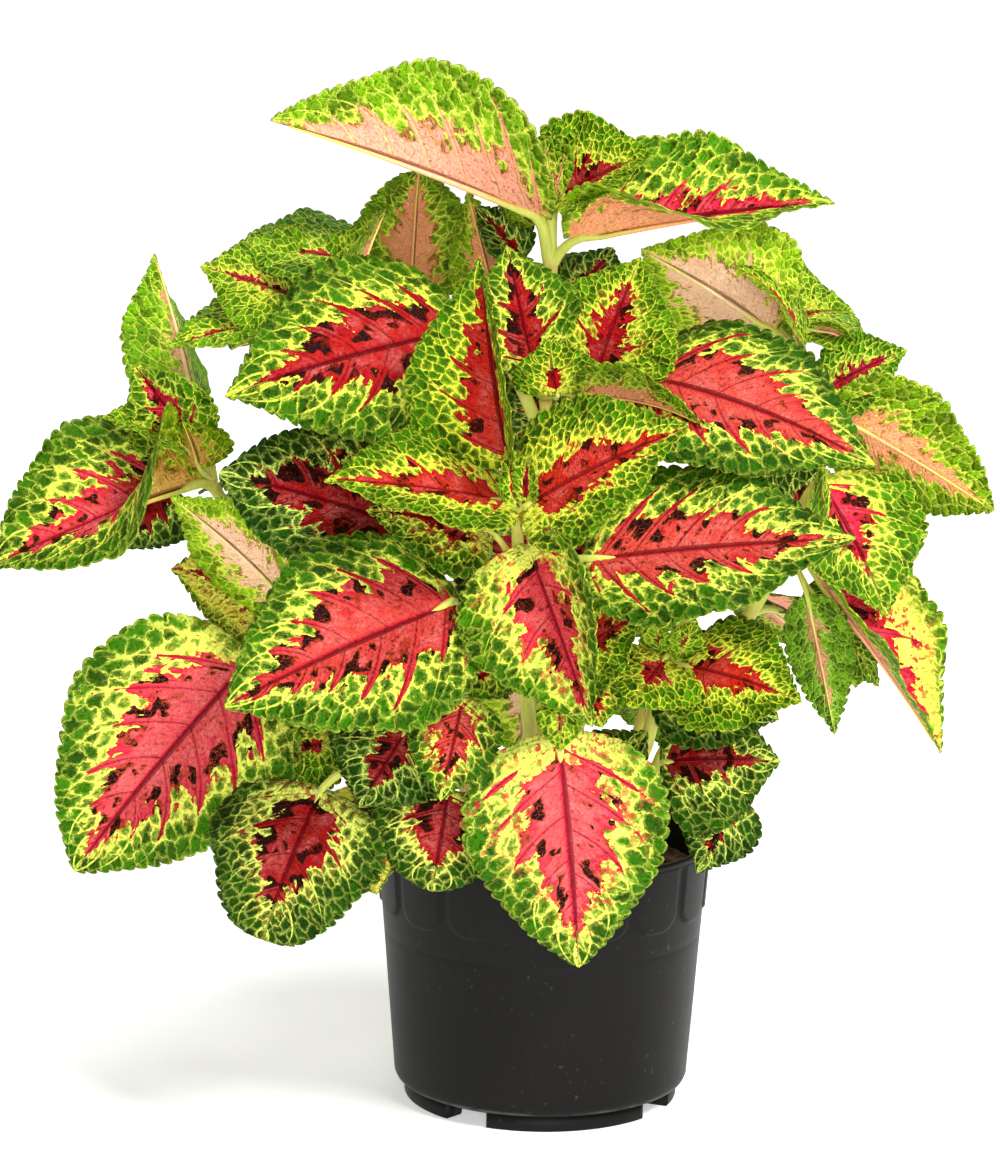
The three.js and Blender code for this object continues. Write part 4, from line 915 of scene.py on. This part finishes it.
def add_hairs(builder, ring, path, sides, per_span, length):
    """Short stiff hairs, slim three-sided spikes, on a tube whose rings stand round the path's points."""
    rings = ring.reshape(len(path), sides, 3)
    count = (len(path) - 1) * per_span
    span = np.repeat(np.arange(len(path) - 1), per_span)
    share = rng.random((count, 1))
    side = rng.integers(0, sides, count)
    roots = rings[span, side] * (1 - share) + rings[span + 1, side] * share
    ways = unit(roots - path[span] * (1 - share) - path[span + 1] * share)
    ways = unit(ways + rng.normal(0, 0.35, ways.shape))
    other = np.where(np.abs(ways[:, :1]) < 0.8, [[1.0, 0, 0]], [[0, 1.0, 0]])
    across = unit(np.cross(ways, other))
    up = np.cross(ways, across)
    reach = length * rng.uniform(0.6, 1.2, (count, 1))
    corners = [roots + HAIR_RADIUS * (across * math.cos(a) + up * math.sin(a)) - ways * HAIR_SUNK
               for a in (0, 2 * math.pi / 3, 4 * math.pi / 3)]
    points = np.stack(corners + [roots + ways * reach], axis=1).reshape(-1, 3)
    faces = []
    for k in range(0, 4 * count, 4):
        faces += [(k, k + 2, k + 1), (k, k + 1, k + 3), (k + 1, k + 2, k + 3), (k + 2, k, k + 3)]
    builder.add(points, faces, 1, zone=(0.0, 0.0, 1.0))


# ------------------------------------------------------------------ shader building
class Value:
    """A number in a material.  Written with +, - and *, it adds the Math nodes that work it out."""

    def __init__(self, graph, socket=None, factors=()):
        self.graph = graph
        self.made = socket
        self.factors = factors

    @property
    def socket(self):
        """The socket, made late for a product, because a sum takes its factors in one node."""
        if self.made is None:
            self.made = self.graph.math("MULTIPLY", *self.factors).made
        return self.made

    def __mul__(self, other):
        return Value(self.graph, factors=(self, other))

    def __add__(self, other):
        for product, rest in ((other, self), (self, other)):
            if isinstance(product, Value) and product.made is None:
                return self.graph.math("MULTIPLY_ADD", *product.factors, rest)
        return self.graph.math("ADD", self, other)

    def __sub__(self, number):
        return self + -number

    def __rsub__(self, number):
        return self.graph.math("SUBTRACT", number, self)


class Graph:
    """A material's nodes, added by short calls that take numbers, colours, sockets and values."""

    def __init__(self, name):
        self.material = bpy.data.materials.new(name)
        self.material.use_nodes = True
        self.tree = self.material.node_tree
        self.tree.nodes.clear()

    def node(self, kind, inputs, **settings):
        made = self.tree.nodes.new("ShaderNode" + kind)
        for key, value in settings.items():
            setattr(made, key, value)
        for key, value in inputs.items():
            value = getattr(value, "socket", value)
            if isinstance(value, bpy.types.NodeSocket):
                self.tree.links.new(value, made.inputs[key])
            else:
                made.inputs[key].default_value = value
        return made

    def math(self, operation, *values):
        return Value(self, self.node("Math", dict(enumerate(values)), operation=operation).outputs[0])

    def most(self, first, *others):
        for other in others:
            first = self.math("MAXIMUM", first, other)
        return first

    def step(self, value, low, high):
        """Rise smoothly from 0 to 1 as value goes from low to high."""
        inputs = {"Value": value, "From Min": low, "From Max": high}
        return Value(self, self.node("MapRange", inputs, interpolation_type="SMOOTHSTEP").outputs["Result"])

    def fall(self, value, low, high):
        return 1.0 - self.step(value, low, high)

    def mix(self, factor, low, high, blend="MIX"):
        made = self.node("Mix", {0: factor, 6: low, 7: high}, data_type="RGBA", blend_type=blend)
        return made.outputs[2]

    def tint(self, colour, other):
        return self.mix(1.0, colour, other, "MULTIPLY")

    def shade(self, colour, value):
        return self.tint(colour, self.node("CombineColor", {0: value, 1: value, 2: value}).outputs[0])

    def attribute(self, name, output="Color"):
        return self.node("Attribute", {}, attribute_name=name).outputs[output]

    def axes(self, vector):
        return [Value(self, socket) for socket in self.node("SeparateXYZ", {0: vector}).outputs]

    def vector(self, operation, *values):
        return self.node("VectorMath", dict(enumerate(values)), operation=operation)

    def place(self):
        return self.node("TexCoord", {}).outputs["Object"]

    def noise(self, vector, pattern):
        inputs = dict(zip(("Scale", "Detail", "Roughness"), pattern), Vector=vector)
        return Value(self, self.node("TexNoise", inputs).outputs["Fac"])

    def cells(self, vector, feature, output, scale=1.0):
        inputs = {"Vector": vector, "Scale": scale, "Randomness": CELL_CHANCE}
        made = self.node("TexVoronoi", inputs, voronoi_dimensions="2D", feature=feature)
        return Value(self, made.outputs[output])

    def bump(self, height, strength, distance):
        return self.node("Bump", {"Height": height, "Strength": strength, "Distance": distance}).outputs[0]

    def finish(self, **inputs):
        surface = self.node("BsdfPrincipled", {key.replace("_", " "): v for key, v in inputs.items()})
        self.node("OutputMaterial", {"Surface": surface.outputs[0]})
        return self.material


def leaf_material():
    """Both faces of a leaf: green cells in a net of lime, round a coloured heart with dark veins."""
    g = Graph("coleus_leaf")
    vein_at, across, along = g.axes(g.attribute("vein_grid", "Vector"))
    gap, from_midrib, seed = g.axes(g.attribute("scale", "Vector"))
    distance, cream, face = g.axes(g.attribute("zone", "Vector"))
    zone, deep, net, green = [g.attribute(name) for name in Builder.COLOURS]
    place = g.place()
    is_upper = g.step(face, -0.1, 0.1)
    is_lower = 1.0 - is_upper
    blotch = g.noise(place, BLOTCHES) - 0.5
    speck = g.noise(place, SPECKS)
    ragged = g.noise(place, RAGS) - 0.5

    # the net of small veins, from a slightly bent pattern of cells
    bend = g.node("TexNoise", {"Vector": place, "Scale": NET_BEND_SCALE}).outputs["Color"]
    bend = g.vector("SUBTRACT", bend, (0.5, 0.5, 0.5)).outputs[0]
    flat = g.vector("MULTIPLY_ADD", bend, NET_BEND, g.attribute("cell_place", "Vector"))
    flat = flat.outputs[0]
    edge = g.cells(flat, "DISTANCE_TO_EDGE", "Distance")
    fine = g.cells(flat, "DISTANCE_TO_EDGE", "Distance", FINE_CELLS)
    chance, chance_2, chance_3 = g.axes(g.cells(flat, "F1", "Color"))

    # distances from the nearest side vein and from the midrib, in cells
    from_vein = g.math("ABSOLUTE", g.math("FRACT", vein_at + 0.5) - 0.5) * gap
    off_vein = ragged * VEIN_RAGS + from_vein
    thin = across * -0.11 + 0.14
    vein = g.fall(off_vein, thin * 0.5, thin) * (g.step(across, 0.55, 0.9) * -0.7 + 1.0)
    rib_width = along * -0.14 + 0.24
    rib = g.fall(from_midrib, rib_width * 0.5, rib_width)

    # the heart: fingers run out along the veins, and its edge is ragged
    finger = g.fall(off_vein, 0.0, FINGER_WIDTH)
    number = seed * 37.0 + g.math("FLOOR", vein_at + 0.5)
    luck = Value(g, g.node("TexWhiteNoise", {"W": number}, noise_dimensions="1D").outputs["Value"]) - 0.5
    flame = g.node("CombineXYZ", {0: vein_at * FLAMES_PER_VEIN, 1: across, 2: seed * 30.0}).outputs[0]
    foot = g.step(cream, 0.1, 0.6) * g.fall(along, 0.02, 0.13)
    heart_at = distance + (distance + across) * (finger * FINGER_DEPTH - FINGER_DEPTH)
    heart_at += g.fall(from_midrib, 0.1, 0.9) * MIDRIB_FINGER
    heart_at += luck * finger * FINGER_LUCK
    heart_at += g.fall(off_vein, 0.02, 0.16) * NEEDLE
    heart_at += ragged * EDGE_RAGS
    heart_at += (g.noise(flame, FLAMES) - 0.5) * EDGE_FLAMES
    heart_at += blotch * EDGE_BLOTCHES
    heart_at += (chance - 0.5) * EDGE_CELLS
    heart_at += foot * is_upper * -0.5

    # outside: cells lighter and darker by chance, paler towards their edges, in a lime net
    cell = g.shade(green, (speck - 0.5) * 0.9 + (chance_2 * 0.85 + 0.42))
    depth_of_green = g.axes(cell)[1]
    old = g.fall(g.axes(green)[1], 0.11, 0.17)
    kept = 1.0 - g.step(across, 0.66, 0.95) * (old * 0.45 + 0.12)
    near = g.fall(heart_at * -1.0, 0.0, 0.42)
    halo = g.step(heart_at, cream * -0.85 - 0.1, 0.0)
    wide = halo * (cream * 0.3 + 0.05)
    wide += near * 0.13
    wide += blotch * 0.27
    wide += foot * 0.4
    wide += (chance_3 - 0.5) * 0.05
    wide += cream * g.fall(along, 0.0, 0.3) * 0.3
    wide += g.step(across, 0.6, 1.0) * -0.03
    wide += depth_of_green * (is_lower * -0.65 + 1.0) * 0.42
    wide += ragged * 0.18
    wide = g.most(wide - 0.032, 0.008)
    pale = g.fall(edge, wide, wide + 0.26) * (speck * 1.6 - 0.35) * kept
    cell = g.mix(pale * 0.55, cell, net)
    yellow = g.fall(ragged * 0.5 + across, 0.66, 0.84) * (g.step(cream, 0.75, 0.95) * is_upper)
    cell = g.mix(yellow * 0.9, cell, YELLOW)
    fine_line = g.fall(fine, 0.0, 0.06)
    net_line = g.fall(edge, wide * 0.45, wide)
    net_line = g.most(net_line, fine_line * (near * 0.5 + 0.03), vein, rib) * kept
    net_line = g.most(net_line, g.step(across, 0.965, 0.99) * (old * -0.5 + 0.6))
    net_line *= is_lower * -0.2 + 1.0
    net_line *= g.most(near, vein) * 0.25 + 0.75
    glow = g.most(halo * g.most(vein, rib, cream), foot)
    outside = g.mix(net_line, cell, g.mix(glow, net, g.mix(0.6, net, PALE_NET)))
    creamy = g.most(halo * g.step(cream, 0.2, 0.6), foot)
    outside = g.mix(creamy * g.step(g.noise(place, GREEN_FLECKS), 0.6, 0.64), outside, cell)
    fleck = g.step(near * 0.06 + g.noise(place, RED_FLECKS), 0.55, 0.58)
    fleck *= creamy * g.step(g.noise(place, FLECK_CLUSTERS), 0.42, 0.5)
    outside = g.mix(fleck, outside, deep)

    # inside: deep colour on the veins and at the edge, a faint net between them
    flush = g.most(g.fall(off_vein, 0.0, 0.45) * g.step(across, 0.1, 0.6), g.fall(from_midrib, 0.05, 0.35))
    depth = g.most(g.fall(heart_at, 0.0, 0.2) * 0.85, flush * 0.8)
    depth += blotch * 0.3
    depth += ragged * 0.3
    # lighter pink patches in the heart, placed by noise: mottling, and partly a painted soft sheen
    mottle_and_sheen = g.step(blotch, -0.1, 0.2) * g.fall(speck, 0.3, 0.7) * 0.55
    inside = g.mix(mottle_and_sheen, zone, g.mix(0.5, zone, ROSY_MOTTLE_AND_SHEEN))
    inside = g.mix(depth, inside, deep)
    line = g.most(g.fall(off_vein, 0.01, 0.075), g.fall(from_midrib, 0.0, 0.07) * 0.55)
    inside = g.mix(line * 0.72 * is_upper, inside, g.tint(deep, VEIN_TINT))
    inside = g.mix(g.most(g.fall(edge, 0.0, 0.05), fine_line * 0.7) * 0.5, inside, deep)
    inside = g.mix(g.most(vein, rib) * is_lower * 0.22, inside, net)

    # dark spots in clusters, between the veins just inside the heart's edge
    spot = g.step((seed - 0.5) * 0.09 + g.noise(place, SPOT_CLUSTERS), 0.475, 0.535)
    spot *= g.step(ragged * 0.12 + fine, -0.04, 0.07)
    spot *= g.step(off_vein, 0.16, 0.3)
    spot *= g.fall(heart_at, 0.16, 0.32)
    spot *= g.most(is_upper, g.fall(heart_at, 0.04, 0.12) * 0.6)
    spot *= is_upper * g.step(depth_of_green, 0.12, 0.17) * -0.75 + 1.0
    inside = g.mix(g.step(spot, 0.05, 0.4), inside, g.tint(zone, RUST_TINT))
    inside = g.mix(g.step(spot, 0.4, 0.8), inside, linear(SPOT_COLOUR))
    colour = g.mix(g.step(heart_at, -HEART_EDGE, HEART_EDGE), outside, inside)

    # puffed cells, flatter in the heart, with grooves along the veins
    dome = g.step(edge, 0.0, 0.3) * (g.step(distance, -0.15, 0.0) * -0.8 + 1.0)
    dome += g.most(g.fall(from_vein, 0.0, 0.12), g.fall(from_midrib, 0.0, 0.1)) * -0.35
    dome += g.step(fine, 0.0, 0.3) * 0.25
    bump = g.bump(speck * 0.3 + dome * face, 1.0, 0.0012)
    return g.finish(Base_Color=colour, Roughness=0.5, Specular_IOR_Level=0.07, Normal=bump)


def stem_material():
    """Pale lime stalks, flushed with pink at the nodes and streaked lengthways."""
    g = Graph("coleus_stalk")
    flush, solid, _ = g.axes(g.attribute("zone", "Vector"))
    place = g.place()
    streak = g.node("Mapping", {"Vector": place, "Scale": STREAK_SCALE}).outputs[0]
    streak = g.noise(streak, STREAKS)
    patch = flush * g.step(g.noise(place, FLUSHES), 0.4, 0.65)
    colour = g.mix(g.most(patch * 0.8, solid * 0.85), linear(STEM_COLOUR), g.attribute("zone_colour"))
    colour = g.shade(colour, streak * 0.35 + 0.8)
    bump = g.bump(streak, 0.4, 0.0003)
    return g.finish(Base_Color=colour, Roughness=0.5, Specular_IOR_Level=0.4, Normal=bump)


def pot_material():
    """Thin black moulded plastic with a fine satin grain, dusty in its lowest seam."""
    g = Graph("pot_plastic")
    place = g.place()
    grain = g.noise(place, POT_GRAIN)
    cloud = g.noise(place, POT_CLOUDS)
    colour = g.shade(linear(POT_COLOUR), cloud * 0.25 + 0.87)
    dust = g.step(g.noise(place, DUST_GRAIN), 0.62, 0.72) * g.step(cloud, 0.4, 0.65)
    height = g.axes(place)[2] * 1000.0
    seam = g.step(height, 7.0, 7.6) * g.fall(height, 7.8, 8.6) * g.step(g.noise(place, SEAM_DUST), 0.4, 0.6)
    colour = g.mix(g.most(dust * 0.25, seam * 0.3), colour, linear(DUST_COLOUR))
    bump = g.bump(grain, 0.5, 0.0001)
    return g.finish(Base_Color=colour, Roughness=grain * 0.12 + 0.38, Specular_IOR_Level=0.12, Normal=bump)


def soil_material():
    """Dark peat with paler fibres and grains."""
    g = Graph("potting_soil")
    place = g.place()
    clump = g.noise(place, SOIL_CLUMPS)
    grain = g.noise(place, SOIL_GRAINS)
    colour = g.mix(g.step(clump, 0.35, 0.7), linear(SOIL_DARK), linear(SOIL_LIGHT))
    colour = g.mix(g.step(grain, 0.62, 0.75) * 0.5, colour, linear(SOIL_FLECK))
    bump = g.bump(grain * 0.4 + clump, 0.9, 0.0015)
    return g.finish(Base_Color=colour, Roughness=0.9, Specular_IOR_Level=0.2, Normal=bump)


def floor_material():
    """White paper, lit a little from within so that it stays white far from the lamps."""
    g = Graph("studio_floor")
    place = g.place()
    colour = g.shade(WHITE, g.noise(place, PAPER_CLOUDS) * 0.01 + 0.93)
    away = Value(g, g.vector("LENGTH", place).outputs["Value"])
    glow = g.step(away, 0.25, 1.4) * 0.6 + 0.45
    return g.finish(Base_Color=colour, Roughness=0.8, Specular_IOR_Level=0.1, Emission_Color=WHITE,
                    Emission_Strength=glow)


# ------------------------------------------------------------------ pot
def wall_radius(height):
    share = (height - FLOOR_UNDERSIDE) / (POT_HEIGHT - FLOOR_UNDERSIDE)
    return WALL_BASE_RADIUS + share * (RIM_RADIUS - COLLAR_PROUD - WALL_BASE_RADIUS)


def lobe_cover(angle, height):
    """How far, from 0 to 1, a point of the wall lies on the raised lobes below the rim."""
    pitch = 2 * np.pi / LOBE_COUNT
    turn = (angle - math.radians(LOBE_FIRST_DEGREES)) % pitch - pitch / 2
    half = (pitch - math.radians(LOBE_GAP_DEGREES)) / 2 * RIM_RADIUS
    beside = np.abs(turn) * RIM_RADIUS
    corner_x = np.clip(beside - (half - LOBE_CORNER), 0, None)
    corner_z = np.clip(LOBE_BOTTOM + LOBE_CORNER - height, 0, None)
    past = np.hypot(corner_x, corner_z) - LOBE_CORNER
    return 1 - smooth(-LOBE_EDGE, LOBE_EDGE, past)


def pot_profile():
    """Radius, height and share of the lobes, from the floor's outer edge up and over the rim."""
    rows = []
    for share in np.linspace(0, np.pi / 2, 6)[:-1]:
        radius = WALL_BASE_RADIUS - BASE_ROUND * (1 - math.sin(share))
        rows.append((radius, FLOOR_UNDERSIDE + BASE_ROUND * (1 - math.cos(share)), 0))
    heights = [FLOOR_UNDERSIDE + BASE_ROUND, 12, 20, 32, 44, 56, 62]
    heights += [STACK_LINE - 0.6, STACK_LINE - 0.2, STACK_LINE + 0.2, STACK_LINE + 0.6, 70]
    lip = POT_HEIGHT - RIM_LIP
    heights += list(np.linspace(73, lip - 1.2, COLLAR_ROWS))
    for height in heights:
        step_in = STACK_LINE_DEPTH if abs(height - STACK_LINE) < 0.3 else 0
        rows.append((wall_radius(height) - step_in, height, 1))
    rim = RIM_RADIUS
    rows += [(rim - 0.05, lip - 0.3, 0), (rim - RIM_LIP_PROUD, lip, 0), (rim, lip + 0.35, 0)]
    rows += [(rim, POT_HEIGHT - 0.8, 0), (rim - 0.3, POT_HEIGHT - 0.2, 0), (rim - 0.9, POT_HEIGHT, 0)]
    rows += [(rim - 2, POT_HEIGHT, 0), (wall_radius(lip) - WALL_THICKNESS, POT_HEIGHT - 0.5, 0)]
    for height in np.linspace(lip, FLOOR_UNDERSIDE + FLOOR_THICKNESS + 2, 10):
        rows.append((wall_radius(height) - WALL_THICKNESS, height, 0))
    rows.append((WALL_BASE_RADIUS - WALL_THICKNESS - 1.5, FLOOR_UNDERSIDE + FLOOR_THICKNESS, 0))
    return rows


def add_pot(builder):
    angle = 2 * np.pi * np.arange(POT_SEGMENTS) / POT_SEGMENTS
    points = []
    rows = pot_profile()
    for radius, height, lobed in rows:
        proud = lobed * COLLAR_PROUD * lobe_cover(angle, height) if height > LOBE_BOTTOM - 2 else 0
        points.append(circle(radius + proud, angle, height))
    builder.add(np.concatenate(points), grid_faces(len(points), POT_SEGMENTS, closed=True), 0)
    add_drained_floor(builder, rows[0][0], rows[-1][0])
    for i in range(FOOT_COUNT):
        add_foot(builder, math.radians(FOOT_FIRST_DEGREES + i * 360 / FOOT_COUNT))


def add_drained_floor(builder, low_edge, high_edge):
    """The floor with its drain holes: each sixth is a ring of quads from a hole out to its edges."""
    half = math.pi / DRAIN_COUNT
    arc = POT_SEGMENTS // DRAIN_COUNT
    low, high = FLOOR_UNDERSIDE, FLOOR_UNDERSIDE + FLOOR_THICKNESS
    for i in range(DRAIN_COUNT):
        middle = 2 * half * i
        hole = np.array([DRAIN_RING * math.cos(middle), DRAIN_RING * math.sin(middle)])
        layers = []
        for edge in (low_edge, high_edge):
            turns = np.linspace(middle - half, middle + half, arc + 1)
            sides = np.linspace(HUB_RADIUS, edge, 12)
            border = [(r, turns[0]) for r in sides[:-1]] + [(edge, a) for a in turns[:-1]]
            border += [(r, turns[-1]) for r in sides[:0:-1]] + [(HUB_RADIUS, a) for a in turns[:0:-1]]
            border = np.array([(r * math.cos(a), r * math.sin(a)) for r, a in border])
            around = np.arctan2(border[:, 1] - hole[1], border[:, 0] - hole[0])
            rim = hole + DRAIN_RADIUS * np.stack([np.cos(around), np.sin(around)], 1)
            layers.append((border, rim))
        count = len(layers[0][0])
        rings = [(layers[0][0], low), (layers[0][1], low), (layers[1][1], high), (layers[1][0], high)]
        points = np.concatenate([np.column_stack([ring, np.full(count, z)]) for ring, z in rings])
        builder.add(points, grid_faces(4, count, closed=True, flip=True), 0)
    turns = np.linspace(0, 2 * math.pi, POT_SEGMENTS, endpoint=False)
    for z, turn in ((low, -1), (high, 1)):
        builder.add(circle(HUB_RADIUS, turns, z), [tuple(range(POT_SEGMENTS))[::turn]], 0)


def add_foot(builder, middle):
    """A curved foot with rounded bottom edges."""
    half = math.radians(FOOT_ARC_DEGREES / 2)
    top = FLOOR_UNDERSIDE + FLOOR_THICKNESS / 2
    inner, outer, soft = FOOT_INNER_RADIUS, FOOT_OUTER_RADIUS, FOOT_ROUND
    section = [(inner, top), (inner, soft), (inner + soft, 0), (outer - soft, 0), (outer - 0.2, soft * 0.3),
               (outer, soft), (outer, top)]
    steps = np.linspace(middle - half, middle + half, FOOT_STEPS)
    points = [(r * math.cos(a), r * math.sin(a), z) for a in steps for r, z in section]
    builder.add(points, grid_faces(len(steps), len(section), closed=True, capped=True, flip=True), 0)


# ------------------------------------------------------------------ soil
def soil_height(x, y):
    """The soil's crowned top with lumps of a few sizes."""
    radius = np.hypot(x, y) / wall_radius(SOIL_TOP)
    crown = SOIL_TOP + SOIL_CROWN * (1 - radius ** 2)
    lumps = (0.7 * np.sin(0.31 * x + 1.3) * np.cos(0.27 * y + 0.4) + 0.5 * np.sin(0.83 * x - 0.61 * y)
             + 0.35 * np.sin(1.7 * x + 0.9 * y + 2) * np.cos(1.3 * y - 0.7 * x))
    return crown + lumps * (1 - radius ** 8)


def add_soil(builder):
    """The body of soil in the pot, and crumbs lying on it."""
    angle = 2 * np.pi * np.arange(SOIL_SEGMENTS) / SOIL_SEGMENTS
    edge = wall_radius(SOIL_TOP) - WALL_THICKNESS - SOIL_WALL_GAP
    floor = FLOOR_UNDERSIDE + FLOOR_THICKNESS + SOIL_FLOOR_GAP
    foot = wall_radius(floor) - WALL_THICKNESS - SOIL_WALL_GAP
    rings = [circle(foot * 0.4, angle, floor), circle(foot, angle, floor)]
    for radius in np.linspace(edge, 1, SOIL_RINGS):
        top = soil_height(radius * np.cos(angle), radius * np.sin(angle))
        rings.append(circle(radius, angle, top))
    faces = grid_faces(len(rings), SOIL_SEGMENTS, closed=True, capped=True)
    builder.add(np.concatenate(rings), faces, 0)
    for _ in range(CRUMB_COUNT):
        radius = (edge - 2) * math.sqrt(rng.random())
        turn = rng.random() * 2 * np.pi
        size = rng.uniform(0.5, 1.7)
        centre = np.array([radius * math.cos(turn), radius * math.sin(turn), 0])
        centre[2] = soil_height(centre[0], centre[1]) + size * 0.2
        add_crumb(builder, centre, size)


def add_crumb(builder, centre, size):
    """A small rough lump: two rings and two poles, each point pushed in or out by chance."""
    sides = CRUMB_SIDES
    turn = 2 * np.pi * np.arange(sides) / sides
    rings = np.vstack([[0, 0, -1], circle(0.85, turn, -0.5), circle(0.85, turn, 0.5), [0, 0, 1]])
    stretch = rng.uniform(0.6, 1.3, 3)
    points = rings * rng.uniform(0.75, 1.2, (len(rings), 1)) * stretch * size + centre
    faces = []
    for k in range(sides):
        a, b = 1 + k, 1 + (k + 1) % sides
        faces += [(0, b, a), (a, b, b + sides, a + sides), (a + sides, b + sides, 2 * sides + 1)]
    builder.add(points, faces, 0)


# ------------------------------------------------------------------ assembly
def attach(obj, node, name):
    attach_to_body(obj, "root")
    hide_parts(node)


leaf = leaf_material()
stalk = stem_material()
for shoot_name, shoot in SHOOTS.items():
    builder = Builder()
    stem = np.array(shoot["stem"], float)
    looks = LOOKS.get(shoot_name, [])
    looks = looks + [None] * (len(shoot["leaves"]) - len(looks))
    add_stem(builder, stem)
    for number, (row, look) in enumerate(zip(shoot["leaves"], looks), 1):
        blade = Blade(f"{shoot_name}_{number}", row)
        fine = look is not None
        if not fine:
            look = REAR_LOOKS[int(rng.integers(len(REAR_LOOKS)))]
        add_blade(builder, blade, look, fine)
        add_stalk(builder, blade, stem[blade.node], look[4])
    attach(builder.build("fine_shoot_" + shoot_name, [leaf, stalk]), "shoot_" + shoot_name, "foliage")

for node, add_part, material in (("pot", add_pot, pot_material), ("soil", add_soil, soil_material)):
    builder = Builder()
    add_part(builder)
    attach(builder.build("fine_" + node, [material()]), node, node)

# ------------------------------------------------------------------ stage, camera and lights
FLOOR_SIZE = 40.0
floor_mesh = bpy.data.meshes.new("floor")
side = FLOOR_SIZE / 2
floor_mesh.from_pydata([(-side, -side, 0), (side, -side, 0), (side, side, 0), (-side, side, 0)], [],
                       [(0, 1, 2, 3)])
floor_mesh.materials.append(floor_material())
floor = add_object("floor", floor_mesh)

CAMERA_DISTANCE = 1.2
CAMERA_HEIGHT = 0.394
CAMERA_ASIDE = -0.0178
CAMERA_PITCH = 9.2
CAMERA_ROLL = 0.65
FOCAL_PIXELS = 3187
FRAME_LONG_SIDE = 1168
SENSOR = 36.0
camera_data = bpy.data.cameras.new("camera")
camera_data.sensor_width = SENSOR
camera_data.lens = FOCAL_PIXELS * SENSOR / FRAME_LONG_SIDE
camera = add_object("camera", camera_data)
spot = Vector((AXIS[0] + CAMERA_ASIDE, AXIS[1] - CAMERA_DISTANCE, CAMERA_HEIGHT))
camera.matrix_world = (Matrix.Translation(spot) @ Matrix.Rotation(math.radians(90 - CAMERA_PITCH), 4, "X")
                       @ Matrix.Rotation(math.radians(CAMERA_ROLL), 4, "Z"))
bpy.context.scene.camera = camera

TARGET = Vector((AXIS[0], AXIS[1], 0.2))
# name, place relative to the plant in metres, size in metres, power in watts
LIGHTS = [
    ("key", (0.9, -1.3, 1.4), 0.6, 44),
    ("front", (0.1, -1.9, 0.3), 0.7, 14.5),
    ("fill", (-1.4, -1.3, 0.7), 1.4, 1.9),
    ("top", (0.0, 0.1, 1.9), 0.8, 15),
    ("back", (0.3, 1.6, 1.2), 1.2, 8),
]
for light_name, offset, size, power in LIGHTS:
    data = bpy.data.lights.new(light_name, "AREA")
    data.shape = "DISK"
    data.size = size
    data.energy = power
    light = add_object(light_name, data)
    light.location = TARGET + Vector(offset)
    light.rotation_euler = (TARGET - light.location).to_track_quat("-Z", "Y").to_euler()

HORIZON_STRENGTH = 1.05
DOME_STRENGTH = 0.16
HORIZON_TOP = 0.04
DOME_START = 0.2
world = bpy.data.worlds.new("studio")
world.use_nodes = True
tree = world.node_tree
background = tree.nodes["Background"]
background.inputs["Color"].default_value = WHITE
direction = tree.nodes.new("ShaderNodeTexCoord")
height = tree.nodes.new("ShaderNodeSeparateXYZ")
fade = tree.nodes.new("ShaderNodeMapRange")
fade.inputs["From Min"].default_value = HORIZON_TOP
fade.inputs["From Max"].default_value = DOME_START
fade.inputs["To Min"].default_value = HORIZON_STRENGTH
fade.inputs["To Max"].default_value = DOME_STRENGTH
tree.links.new(direction.outputs["Generated"], height.inputs[0])
tree.links.new(height.outputs["Z"], fade.inputs["Value"])
tree.links.new(fade.outputs["Result"], background.inputs["Strength"])
bpy.context.scene.world = world
bpy.context.scene.view_settings.view_transform = "Standard"
